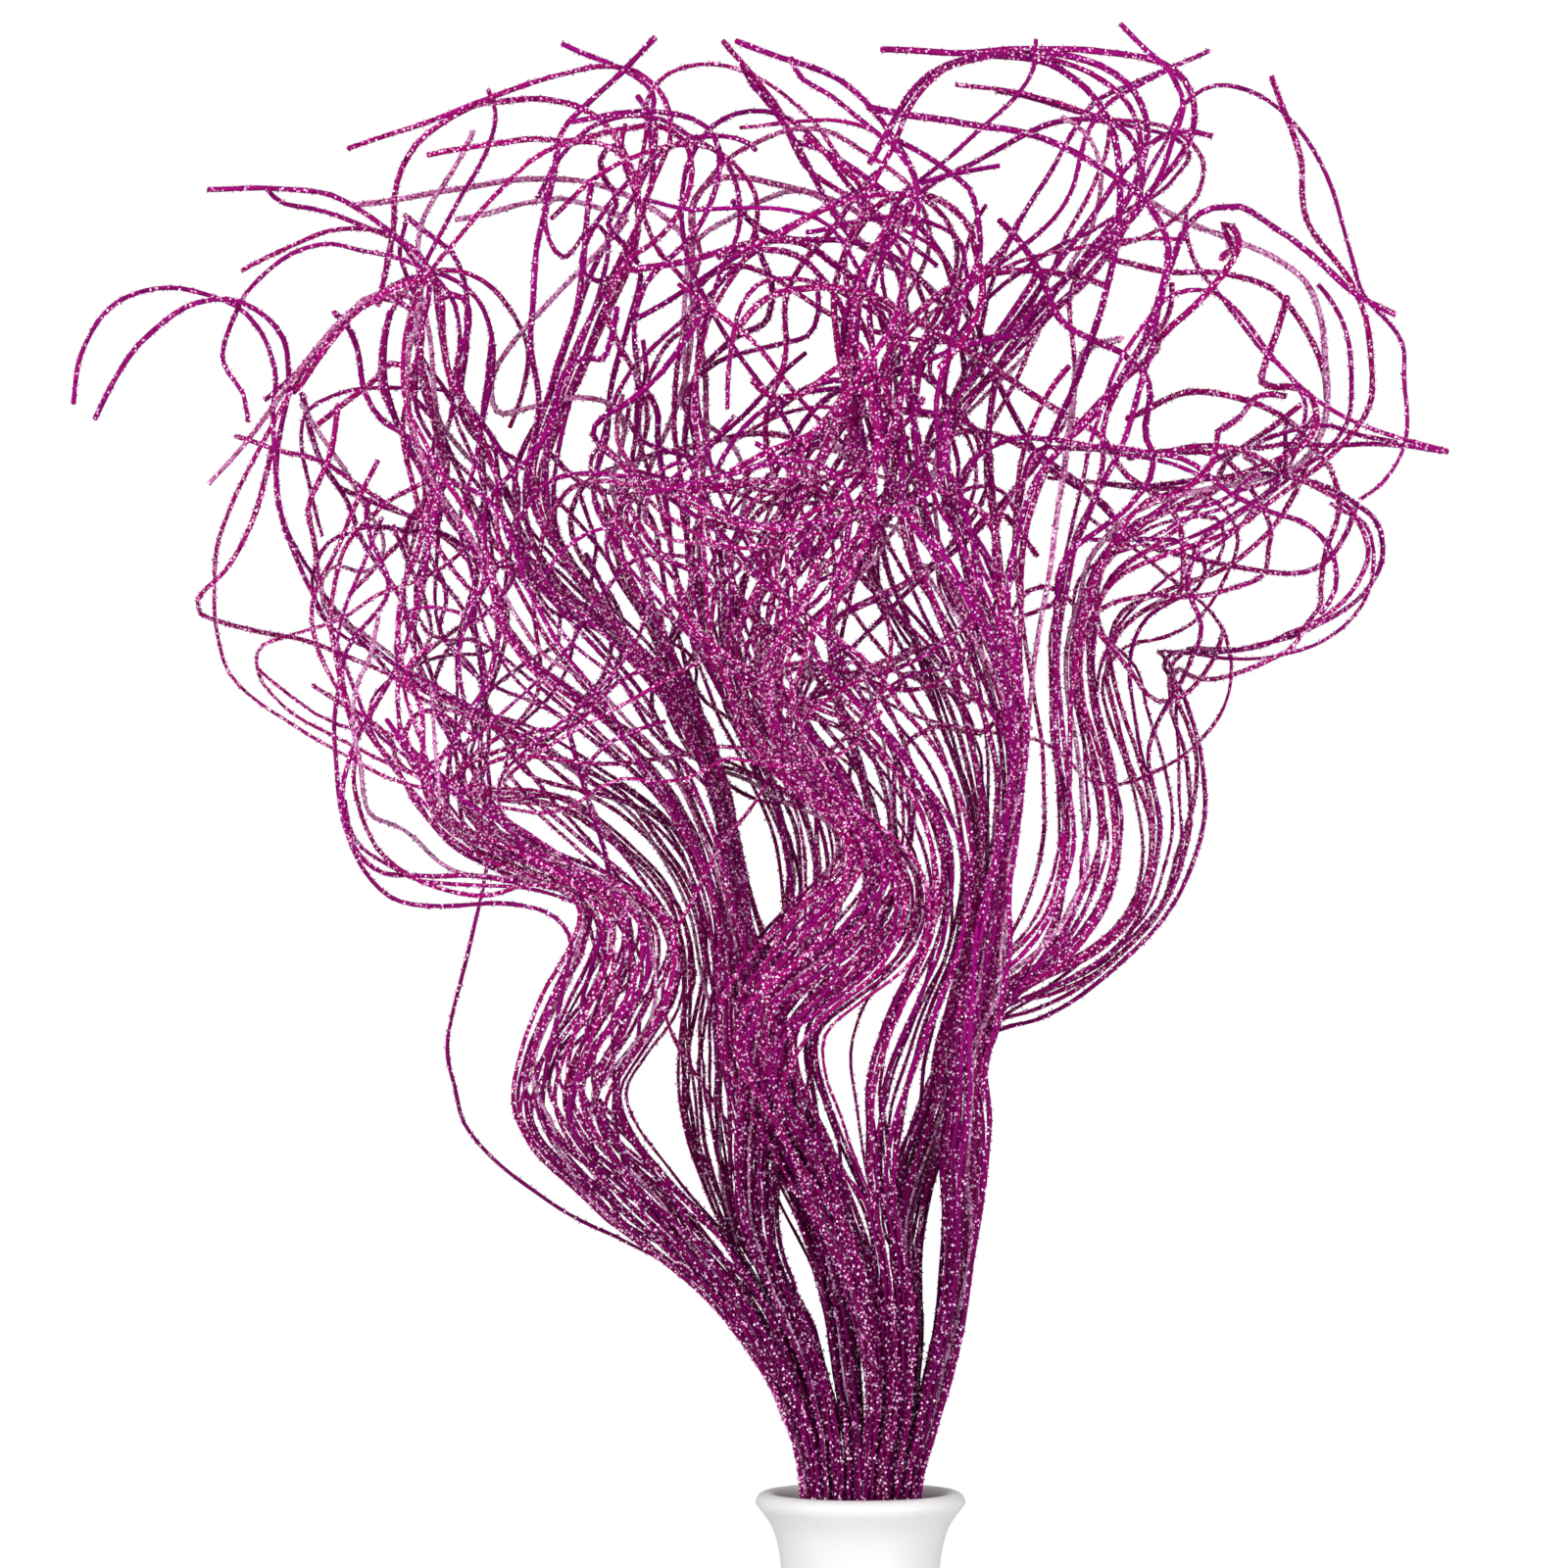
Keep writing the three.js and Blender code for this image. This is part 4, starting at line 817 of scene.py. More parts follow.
def lock_routes(lock, bunch, number, others, look):
    """Routes of all strands of a lock, from its left edge to its right."""
    routes = traced_routes(lock, bunch)
    parents = in_the_lock(lock, bunch)
    for n in range(look.companions):
        draw = random.Random(f"{look.seed} {number} {n}")
        routes.append(companion_route(parents, n % (len(parents) - 1), others, draw))
    return sorted(routes, key=lambda route: route.points[0].x)


def whole_strand(below, route, place):
    """Line of a strand from its butt to its tip, with the kinks of its own place in the noise."""
    rise = (below[-1] + route.points[0]) / 2
    root, _ = smooth([*below, rise, route.points[1]], STRAND_STEP)
    line = unbent(evenly([*root, *route.points[2:]], STRAND_STEP))
    for i, point in enumerate(line):
        sway = noise.noise_vector(point / KINK_LENGTH + place)
        line[i] = point + sway * KINK * ease((i - FIXED_STEPS) / FIXED_STEPS)
    return line


def lock_strands(lock, bunch, number, others, look):
    """Every strand of a lock, from the butt to the tip."""
    routes = lock_routes(lock, bunch, number, others, look)
    draw = random.Random(f"{look.seed} {number}")
    strands = []
    for first in range(0, len(routes), SLOT_ROWS):
        column = sorted(routes[first : first + SLOT_ROWS], key=lambda route: route.points[0].y)
        for row, route in enumerate(column):
            below = in_vase(lock, (first // SLOT_ROWS, row), bunch)
            place = Vector((draw.uniform(0, NOISE_SPAN), 0, 0))
            strands.append(whole_strand(below, route, place))
    return strands


def moves_apart(strands, owners):
    """How far each point of the strands should move away from strands that are too near."""
    tree = KDTree(len(owners))
    for number, (n, i) in enumerate(owners):
        tree.insert(strands[n][i], number)
    tree.balance()
    moves = [[Vector() for _ in line] for line in strands]
    for n, line in enumerate(strands):
        for i in range(1, len(line) - 1):
            along = (line[i + 1] - line[i - 1]).normalized()
            for place, number, _ in tree.find_range(line[i], PARTING_REACH):
                if owners[number][0] == n:
                    continue
                gap = line[i] - place
                gap -= along * gap.dot(along)
                overlap = STRAND_GAP - gap.length
                if overlap > 0:
                    moves[n][i] += gap.normalized() * overlap * PARTING_SHARE
    return moves


def part_strands(strands):
    """Moves the strands apart where they run into one another, a little in each round."""
    owners = [(n, i) for n, line in enumerate(strands) for i in range(len(line))]
    for _ in range(PARTING_ROUNDS):
        for line, moves in zip(strands, moves_apart(strands, owners)):
            for i in range(FIXED_STEPS, len(line) - 1):
                move = (moves[i - 1] + 2 * moves[i] + moves[i + 1]) / 4
                line[i] = line[i] + move * min(1, LONGEST_MOVE / max(move.length, 1e-6))


def add(tree, kind, settings=None, inputs=None):
    """A new node. An input is given by name or number, as a constant or another node's output."""
    made = tree.nodes.new(kind)
    for name, value in (settings or {}).items():
        setattr(made, name, value)
    for key, value in (inputs or {}).items():
        if isinstance(value, bpy.types.NodeSocket):
            tree.links.new(value, made.inputs[key])
        else:
            made.inputs[key].default_value = value
    return made


def maths(tree, operation, *values):
    """One step of arithmetic; returns its output."""
    return add(tree, "ShaderNodeMath", {"operation": operation}, dict(enumerate(values))).outputs[0]


def random_field(tree, place, size, detail):
    """Smooth random value with features of about the given size; returns its output."""
    inputs = {"Vector": place, "Scale": 1 / size, "Detail": detail}
    return add(tree, "ShaderNodeTexNoise", None, inputs).outputs["Fac"]


def colour_ramp(tree, source, stops):
    """Colours at the given places of a value; returns the ramp's colour output."""
    ramp = add(tree, "ShaderNodeValToRGB", None, {"Fac": source})
    elements = ramp.color_ramp.elements
    for element, (place, colour) in zip(elements, (stops[0], stops[-1])):
        element.position = place
        element.color = (*colour, 1)
    for place, colour in stops[1:-1]:
        elements.new(place).color = (*colour, 1)
    return ramp.outputs["Color"]


def value_ramp(tree, source, stops):
    """Numbers at the given places of a value; returns the ramp's output."""
    return colour_ramp(tree, source, [(place, (number,) * 3) for place, number in stops])


def mixed(tree, share, a, b):
    """Colour between a and b; returns the colour output."""
    inputs = {0: share, 6: a, 7: b}
    return add(tree, "ShaderNodeMix", {"data_type": "RGBA"}, inputs).outputs[2]


def relief(tree, height, strength, distance):
    """Fine relief of a surface; returns the normal."""
    inputs = {"Strength": strength, "Distance": distance, "Height": height}
    return add(tree, "ShaderNodeBump", None, inputs).outputs["Normal"]


def attribute(tree, name):
    """A number kept on the piece; returns its output."""
    return add(tree, "ShaderNodeAttribute", {"attribute_name": name}).outputs["Fac"]


def new_material(name):
    """A material, its nodes, its shader, and the place on the object that its patterns follow."""
    material = bpy.data.materials.new(name)
    material.use_nodes = True
    tree = material.node_tree
    place = add(tree, "ShaderNodeTexCoord").outputs["Object"]
    return material, tree, tree.nodes["Principled BSDF"], place


def join_up(tree, surface, looks):
    """Links the shader's inputs to what drives them."""
    for name, output in looks.items():
        tree.links.new(output, surface.inputs[name])


def dye_and_low_shade(tree, place, height, tone, look):
    """Colour of the dye, with painted shade. The dye differs in patches and from strand to strand and is
    bluest on the plainest strands; lower down on the locks, where they are dense, painted shade darkens
    it."""
    patches = random_field(tree, place, PATCH, 2)
    own = maths(tree, "FRACT", maths(tree, "MULTIPLY", tone, TONE_FOLDS))
    bright = maths(tree, "MULTIPLY_ADD", own, STRAND_SHADES, patches)
    dye = colour_ramp(tree, bright, [(0.48, look.shade), (0.84, look.dye)])
    hues = [(0.05, look.violet), (0.16, look.dye), (0.5, look.dye), (0.7, look.ruby)]
    dye = mixed(tree, HUE_SHARE, dye, colour_ramp(tree, tone, hues))
    # Painted shade: darker lower down on the locks, where the dense strands shade one another
    low = value_ramp(tree, height, [(DARKEST_LOW_SHADE, 0.75), (LOW_SHADE_END, 0)])
    return mixed(tree, low, dye, (*look.low_shade, 1))


def glittered_reed(look):
    """Dyed dried strip coated with coarse glitter. "tone" is one number for each strand: the
    lowest have hardly any glitter, the highest are silvery. "glint" is above 0 on the grains."""
    material, tree, surface, place = new_material("glittered_reed")
    height = add(tree, "ShaderNodeSeparateXYZ", None, {"Vector": place}).outputs["Z"]
    tone = attribute(tree, "tone")
    glint = attribute(tree, "glint")
    inputs = {"Vector": place, "Scale": 1 / look.fleck_size}
    flecks = add(tree, "ShaderNodeTexVoronoi", None, inputs).outputs
    lot = add(tree, "ShaderNodeSeparateColor", None, {"Color": flecks["Color"]}).outputs
    silvery = value_ramp(tree, tone, [(0.95, 0), (0.965, 1)])
    patchy = value_ramp(tree, lot["Blue"], [(0.35, 0.1), (0.5, 0.85)])
    silver = maths(tree, "MULTIPLY", silvery, patchy)
    dark = value_ramp(tree, lot["Red"], [(0.07, 0.8), (0.1, 0)])
    bare = value_ramp(tree, tone, FLECKED)
    fewer = value_ramp(tree, height, FEWER_FLECKS)
    above = maths(tree, "GREATER_THAN", lot["Red"], maths(tree, "ADD", fewer, bare))
    near = maths(tree, "LESS_THAN", flecks["Distance"], 0.5)
    lit = maths(tree, "MULTIPLY", above, near)
    is_grain = maths(tree, "GREATER_THAN", glint, LEAST_GLINT)
    shiny = maths(tree, "MAXIMUM", is_grain, lit)
    gloss = [(0, REED_ROUGHNESS), (1, GLITTER_ROUGHNESS)]
    flake = colour_ramp(tree, lot["Green"], [(0.3, look.flake), (0.85, look.glint)])
    grain = colour_ramp(tree, glint, [(0.38, look.dye), (0.44, look.flake), (0.95, look.glint)])
    colour = dye_and_low_shade(tree, place, height, tone, look)
    colour = mixed(tree, silver, colour, (*look.silver, 1))
    colour = mixed(tree, dark, colour, (*look.gap, 1))
    colour = mixed(tree, lit, colour, flake)
    looks = {
        "Base Color": mixed(tree, is_grain, colour, grain),
        "Metallic": maths(tree, "MULTIPLY", shiny, GLITTER_METAL),
        "Roughness": value_ramp(tree, shiny, gloss),
        "Normal": relief(tree, flecks["Distance"], 0.7, FLECK_RELIEF),
    }
    join_up(tree, surface, looks)
    surface.inputs["Specular IOR Level"].default_value = REED_SPECULAR
    return material


def satin_glaze(look):
    """White glaze, a little uneven in tone and surface."""
    material, tree, surface, place = new_material("satin_glaze")
    cloud = random_field(tree, place, GLAZE_CLOUD, 4)
    darker = [value * 0.955 for value in look.glaze]
    looks = {
        "Base Color": colour_ramp(tree, cloud, [(0.3, darker), (0.65, look.glaze)]),
        "Roughness": value_ramp(tree, cloud, [(0.3, 0.34), (0.7, 0.24)]),
        "Normal": relief(tree, random_field(tree, place, GLAZE_RIPPLE, 0), 0.1, GLAZE_RELIEF),
    }
    join_up(tree, surface, looks)
    surface.inputs["Coat Weight"].default_value = GLAZE_COAT
    surface.inputs["Coat Roughness"].default_value = GLAZE_COAT_ROUGHNESS
    return material


def laid_twine(look):
    """Natural twine: slanting plies, with painted shade in the grooves between them."""
    material, tree, surface, place = new_material("laid_twine")
    inputs = {"Vector": place, "Rotation": (0.6, 0.5, 0)}
    turned = add(tree, "ShaderNodeMapping", None, inputs).outputs[0]
    inputs = {"Vector": turned, "Scale": 1 / TWINE_PLY, "Distortion": 2}
    plies = add(tree, "ShaderNodeTexWave", {"wave_type": "BANDS"}, inputs).outputs["Fac"]
    # Painted shade: the grooves between the plies are darkened
    groove_shade = [value * 0.35 for value in look.twine]
    looks = {
        "Base Color": colour_ramp(tree, plies, [(0.1, groove_shade), (0.55, look.twine)]),
        "Normal": relief(tree, plies, 0.8, TWINE_RELIEF),
    }
    join_up(tree, surface, looks)
    surface.inputs["Roughness"].default_value = TWINE_ROUGHNESS
    return material


def drawn(tree, inputs):
    """A random number for each part of a geometry; returns its output."""
    return add(tree, "FunctionNodeRandomValue", {"data_type": "FLOAT"}, inputs).outputs[1]


def stored(tree, geometry, name, value):
    """The geometry with a number kept on it under a name."""
    inputs = {"Geometry": geometry, "Name": name, "Value": value}
    return add(tree, "GeometryNodeStoreNamedAttribute", None, inputs).outputs[0]


def shifted(tree, geometry, direction, distance):
    """The geometry with its points moved."""
    inputs = {"Vector": direction, "Scale": distance}
    offset = add(tree, "ShaderNodeVectorMath", {"operation": "SCALE"}, inputs).outputs[0]
    inputs = {"Geometry": geometry, "Offset": offset}
    return add(tree, "GeometryNodeSetPosition", None, inputs).outputs[0]


def round_strands(tree, lines, seed):
    """Centre lines made into round strands with slight knobs."""
    strand = add(tree, "GeometryNodeCurveOfPoint").outputs["Curve Index"]
    toned = stored(tree, lines, "tone", drawn(tree, {"ID": strand, "Seed": seed}))
    inputs = {"Resolution": STRAND_SIDES, "Radius": 1}
    inputs = {
        "Curve": toned,
        "Profile Curve": add(tree, "GeometryNodeCurvePrimitiveCircle", None, inputs).outputs["Curve"],
        "Scale": add(tree, "GeometryNodeInputRadius").outputs["Radius"],
        "Fill Caps": True,
    }
    tube = add(tree, "GeometryNodeCurveToMesh", None, inputs).outputs[0]
    position = add(tree, "GeometryNodeInputPosition").outputs[0]
    normal = add(tree, "GeometryNodeInputNormal").outputs["Normal"]
    knob = maths(tree, "SUBTRACT", random_field(tree, position, KNOB, 1), 0.5)
    return shifted(tree, tube, normal, maths(tree, "MULTIPLY", knob, KNOB_HEIGHT))


def strewn_grains(tree, strands, seed, look):
    """Closed grains strewn over the strands above the vase's neck."""
    position = add(tree, "GeometryNodeInputPosition").outputs[0]
    level = add(tree, "ShaderNodeSeparateXYZ", None, {"Vector": position}).outputs["Z"]
    seen = maths(tree, "GREATER_THAN", level, GRAINS_ABOVE)
    inputs = {"Mesh": strands, "Selection": seen, "Density": look.grains * 1e6, "Seed": seed}
    spots = add(tree, "GeometryNodeDistributePointsOnFaces", None, inputs).outputs
    lifted = shifted(tree, spots["Points"], spots["Normal"], GRAIN_RISE)
    inputs = {"Vertices": GRAIN_SIDES, "Radius Bottom": GRAIN_FOOT, "Depth": GRAIN_DEPTH}
    grain = add(tree, "GeometryNodeMeshCone", None, inputs).outputs["Mesh"]
    inputs = {1: (GRAIN_TURN,) * 3, "Seed": seed}
    turn = add(tree, "FunctionNodeRandomValue", {"data_type": "FLOAT_VECTOR"}, inputs).outputs[0]
    smallest = look.grain_size * SMALLEST_GRAIN
    glints = drawn(tree, {2: GLINTS[0], 3: GLINTS[1], "Seed": seed})
    inputs = {
        "Points": stored(tree, lifted, "glint", glints),
        "Instance": grain,
        "Rotation": turn,
        "Scale": drawn(tree, {2: smallest, 3: look.grain_size, "Seed": seed}),
    }
    placed = add(tree, "GeometryNodeInstanceOnPoints", None, inputs).outputs[0]
    return add(tree, "GeometryNodeRealizeInstances", None, {"Geometry": placed}).outputs[0]


def grain_coating(look):
    """Geometry nodes that turn a lock's centre lines into strands with their glitter."""
    tree = bpy.data.node_groups.new("Grain coating", "GeometryNodeTree")
    tree.interface.new_socket("Geometry", in_out="INPUT", socket_type="NodeSocketGeometry")
    tree.interface.new_socket("Seed", in_out="INPUT", socket_type="NodeSocketInt")
    tree.interface.new_socket("Geometry", in_out="OUTPUT", socket_type="NodeSocketGeometry")
    given = add(tree, "NodeGroupInput").outputs
    strands = round_strands(tree, given["Geometry"], given["Seed"])
    grains = strewn_grains(tree, strands, given["Seed"], look)
    smooth_strands = add(tree, "GeometryNodeSetShadeSmooth", None, {"Geometry": strands})
    both = add(tree, "GeometryNodeJoinGeometry")
    tree.links.new(smooth_strands.outputs[0], both.inputs[0])
    tree.links.new(grains, both.inputs[0])
    add(tree, "NodeGroupOutput", None, {0: both.outputs[0]})
    return tree


def placed_piece(name, mesh, material, node):
    """Puts a finished piece into the scene, in place of the node of the same part."""
    piece = bpy.data.objects.new(name, mesh)
    bpy.context.scene.collection.objects.link(piece)
    mesh.materials.clear()
    mesh.materials.append(material)
    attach(piece, "root")
    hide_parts(node)


def baked_mesh(temporary):
    """Plain mesh of an object with all that shapes it, which is then removed."""
    bpy.context.scene.collection.objects.link(temporary)
    ready = temporary.evaluated_get(bpy.context.evaluated_depsgraph_get())
    mesh = bpy.data.meshes.new_from_object(ready)
    bpy.data.objects.remove(temporary)
    return mesh


def finished_mesh(name, bm):
    """Plain mesh of the shape, which is then freed."""
    mesh = bpy.data.meshes.new(name)
    bm.to_mesh(mesh)
    bm.free()
    return mesh


def strand_radius(height):
    """Radius of a strand at a height above the vase's foot."""
    grown = mix(NECK_STRAND, FULL_STRAND, ease((height - NECK[1]) / LOCK_GROWTH))
    return mix(grown, TIP_STRAND, ease((height - CROWN_BASE) / CROWN_GROWTH))


def lock_curve(name, strands, draw):
    """Centre lines of a lock's strands as one curve."""
    curve = bpy.data.curves.new(name, "CURVE")
    curve.dimensions = "3D"
    for line in strands:
        thickness = draw.uniform(*THICKNESS)
        spline = curve.splines.new("POLY")
        spline.points.add(len(line) - 1)
        for knot, place in zip(spline.points, line):
            knot.co = (*(place * MM), 1)
            knot.radius = strand_radius(place.z) * thickness * MM
    return curve


def butt_mesh(lock, bunch):
    """Trimmed, bound lower end of a lock with a worn edge."""
    bm = bmesh.new()
    centre = Vector((
        bunch["side"] * BUNCH_OFFSET + lock["cell"][0] * BUTT_PITCH,
        bunch["mirror"] * lock["cell"][1] * BUTT_PITCH,
        BUTT_BASE + BUTT_HEIGHT / 2,
    ))
    bmesh.ops.create_cone(
        bm,
        cap_ends=True,
        segments=BUTT_SIDES,
        radius1=BUTT_RADIUS * MM,
        radius2=BUTT_RADIUS * MM,
        depth=BUTT_HEIGHT * MM,
        matrix=Matrix.Translation(centre * MM),
    )
    rims = [edge for edge in bm.edges if abs(edge.verts[0].co.z - edge.verts[1].co.z) < MM]
    bmesh.ops.bevel(
        bm,
        geom=rims,
        offset=BUTT_EDGE * MM,
        offset_type="OFFSET",
        affect="EDGES",
        segments=BUTT_EDGE_STEPS,
        profile=0.5,
        material=-1,
    )
    return bm


def twine_curve(bunch, look):
    """Round twine wound about a bunch."""
    curve = bpy.data.curves.new("tie", "CURVE")
    curve.dimensions = "3D"
    curve.bevel_depth = look.twine_width / 2
    curve.bevel_resolution = TWINE_ROUNDNESS
    curve.use_fill_caps = True
    spline = curve.splines.new("POLY")
    steps = TIE_TURNS * TIE_STEPS
    spline.points.add(steps)
    radius = TIE_BORE * MM + look.twine_width / 2
    for i, knot in enumerate(spline.points):
        angle = 2 * math.pi * i / TIE_STEPS
        knot.co = (
            bunch["side"] * BUNCH_OFFSET * MM + radius * math.cos(angle),
            radius * math.sin(angle),
            TIE_HEIGHT * MM + (i / steps - 0.5) * TIE_RISE * look.twine_width,
            1,
        )
    return curve


def arc(centre, radii, steps):
    """Points of the upper half of an ellipse, from its outer end to its inner one."""
    angles = [math.pi * i / steps for i in range(1, steps)]
    return [(centre[0] + radii[0] * math.cos(a), centre[1] + radii[1] * math.sin(a)) for a in angles]


def smooth_outline(points):
    """Radius and height along a smooth line through the points."""
    line, _ = smooth([Vector((radius, 0, height)) for radius, height in points], OUTLINE_STEP)
    return [(point.x, point.z) for point in line]


def vase_profile():
    """Outline of half the vase, from the centre of its foot up the outside, over the lip and down
    the inside to the centre of its floor."""
    lip_height = VASE_HEIGHT - LIP_ROUND
    outer = [(FOOT_RADIUS, FOOT_ROUND), LOWER_BODY, BELLY, SHOULDER, NECK_BASE, NECK, FLARE]
    outer.append((LIP_RADIUS, lip_height))
    inner = [(MOUTH_RADIUS, lip_height), THROAT, (NECK_BORE, NECK[1])]
    inner += [(radius - WALL, height) for radius, height in (NECK_BASE, SHOULDER, BELLY, LOWER_BODY)]
    inner.append((FOOT_RADIUS - WALL, FLOOR))
    half = ((LIP_RADIUS - MOUTH_RADIUS) / 2, LIP_ROUND)
    centre = ((LIP_RADIUS + MOUTH_RADIUS) / 2, lip_height)
    foot = (FOOT_RADIUS - FOOT_ROUND, FOOT_ROUND)
    turns = [(math.sin(a) * FOOT_ROUND, math.cos(a) * FOOT_ROUND) for a in FOOT_TURNS]
    corner = [(foot[0] + dx, foot[1] - dz) for dx, dz in turns]
    return [
        (0, 0),
        *corner,
        *smooth_outline(outer),
        *arc(centre, half, LIP_STEPS),
        *smooth_outline(inner),
        (0, FLOOR),
    ]


def lay_floor(look):
    """Plain pale disc that the vase stands on."""
    bm = bmesh.new()
    bmesh.ops.create_circle(bm, cap_ends=True, segments=FLOOR_SIDES, radius=look.floor_radius)
    mesh = finished_mesh("floor", bm)
    floor = bpy.data.objects.new("floor", mesh)
    bpy.context.scene.collection.objects.link(floor)
    material, _, surface, _ = new_material("floor")
    surface.inputs["Base Color"].default_value = (*look.floor, 1)
    surface.inputs["Roughness"].default_value = FLOOR_ROUGHNESS
    mesh.materials.append(material)


def light_sky(scene, strength):
    """Soft light from all round, and a white backdrop for the camera."""
    world = bpy.data.worlds.new("sky")
    world.use_nodes = True
    tree = world.node_tree
    background = tree.nodes["Background"]
    background.inputs["Color"].default_value = (1, 1, 1, 1)
    seen = add(tree, "ShaderNodeLightPath").outputs["Is Camera Ray"]
    level = add(tree, "ShaderNodeMix", {"data_type": "FLOAT"}, {0: seen, 2: strength, 3: 1.0})
    tree.links.new(level.outputs[0], background.inputs["Strength"])
    scene.world = world


def hang_light(name, power, place, size):
    """Square lamp that looks at the crown."""
    lamp = bpy.data.lights.new(name, "AREA")
    lamp.energy = power
    lamp.size = size
    light = bpy.data.objects.new(name, lamp)
    light.location = Vector(place) * MM
    aim = Vector(CROWN_CENTRE) * MM - light.location
    light.rotation_euler = aim.to_track_quat("-Z", "Y").to_euler()
    bpy.context.scene.collection.objects.link(light)


def place_camera(scene):
    """Level camera in front, at the height of the crown's middle."""
    lens = bpy.data.cameras.new("camera")
    lens.sensor_width = SENSOR
    lens.lens = SENSOR * EYE_DISTANCE / VIEW_WIDTH
    camera = bpy.data.objects.new("camera", lens)
    camera.location = Vector((EYE_X, -EYE_DISTANCE, VASE_HEIGHT + EYE_Z)) * MM
    camera.rotation_euler = (math.pi / 2, 0, 0)
    scene.collection.objects.link(camera)
    scene.camera = camera


def colour(name, description, default):
    """Property that holds a colour."""
    return bpy.props.FloatVectorProperty(
        name=name, description=description, default=default, subtype="COLOR"
    )


class StrandLook(bpy.types.PropertyGroup):
    """Number, size and colours of the strands and their glitter."""

    companions: bpy.props.IntProperty(
        name="Companions", description="Strands added to a lock's five main ones", default=8, min=0
    )
    seed: bpy.props.IntProperty(
        name="Seed", description="Start of the random draws", default=10, min=1
    )
    grains: bpy.props.FloatProperty(
        name="Grains", description="Glitter grains on a square millimetre of strand", default=0.2
    )
    grain_size: bpy.props.FloatProperty(
        name="Grain size", description="Largest glitter grain", default=0.00115, unit="LENGTH"
    )
    fleck_size: bpy.props.FloatProperty(
        name="Fleck size", description="Size of the fine flecks", default=0.0009, unit="LENGTH"
    )
    dye: colour("Dye", "Magenta of the strands", (0.3, 0.002, 0.165))
    shade: colour("Shade", "Deeper dye in patches", (0.13, 0.0, 0.07))
    # Painted shade: the darker colour mixed in lower down on the locks, where they are dense
    low_shade: colour("Deep", "Dye above the vase", (0.1, 0.0, 0.055))
    violet: colour("Violet", "Dye of the plainest strands", (0.38, 0.0, 0.24))
    ruby: colour("Ruby", "Reddest dye", (0.38, 0.002, 0.135))
    gap: colour("Gap", "Dark spots between flecks", (0.05, 0.0, 0.035))
    silver: colour("Silver", "Greyish strands", (0.62, 0.32, 0.54))
    flake: colour("Flake", "Pink glitter", (1.0, 0.3, 0.76))
    glint: colour("Glint", "Silver glitter", (1, 0.78, 0.96))


class VaseLook(bpy.types.PropertyGroup):
    """Smoothness and colours of the vase and the ties inside it."""

    sides: bpy.props.IntProperty(name="Sides", description="Steps round the vase", default=128, min=16)
    glaze: colour("Glaze", "White of the vase", (0.72, 0.715, 0.71))
    twine: colour("Twine", "Colour of the ties", (0.5, 0.35, 0.17))
    twine_width: bpy.props.FloatProperty(
        name="Twine width", description="Thickness of the tie's twine", default=0.0017, unit="LENGTH"
    )


class StageLook(bpy.types.PropertyGroup):
    """Floor and light."""

    floor: colour("Floor", "Colour of the floor", (0.8, 0.8, 0.8))
    floor_radius: bpy.props.FloatProperty(
        name="Floor radius", description="Radius of the floor disc", default=1.2, unit="LENGTH"
    )
    key: bpy.props.FloatProperty(
        name="Key light", description="Power of the main light", default=49, unit="POWER"
    )
    fill: bpy.props.FloatProperty(
        name="Fill light", description="Power of the fill light", default=36, unit="POWER"
    )
    sky: bpy.props.FloatProperty(
        name="Sky", description="Strength of the light from all round", default=0.5
    )


class TINGTING_OT_spin_vase(bpy.types.Operator):
    """Spin the white vase from its outline"""

    bl_idname = "tingting.spin_vase"
    bl_label = "Spin the vase"

    def execute(self, context):
        look = context.scene.vase_look
        profile = vase_profile()
        bm = bmesh.new()
        verts = [bm.verts.new((radius * MM, 0, height * MM)) for radius, height in profile]
        edges = [bm.edges.new(pair) for pair in zip(verts, verts[1:])]
        bmesh.ops.spin(
            bm,
            geom=[*verts, *edges],
            cent=(0, 0, 0),
            axis=(0, 0, 1),
            angle=2 * math.pi,
            steps=look.sides,
            use_merge=True,
        )
        bmesh.ops.remove_doubles(bm, verts=bm.verts, dist=WELD * MM)
        bmesh.ops.recalc_face_normals(bm, faces=bm.faces)
        mesh = finished_mesh("white_vase", bm)
        mesh.shade_smooth()
        placed_piece("white_vase", mesh, satin_glaze(look), "vase")
        return {"FINISHED"}


class TINGTING_OT_bind_bunches(bpy.types.Operator):
    """Wind the twine that binds each bunch inside the vase"""

    bl_idname = "tingting.bind_bunches"
    bl_label = "Bind the bunches"

    def execute(self, context):
        look = context.scene.vase_look
        material = laid_twine(look)
        for bunch in BUNCHES:
            name = f"{bunch['name']}_twine"
            bm = bmesh.new()
            bm.from_mesh(baked_mesh(bpy.data.objects.new(name, twine_curve(bunch, look))))
            bmesh.ops.remove_doubles(bm, verts=bm.verts, dist=WELD * MM)
            mesh = finished_mesh(name, bm)
            mesh.shade_smooth()
            placed_piece(name, mesh, material, f"{bunch['name']}_tie")
        return {"FINISHED"}


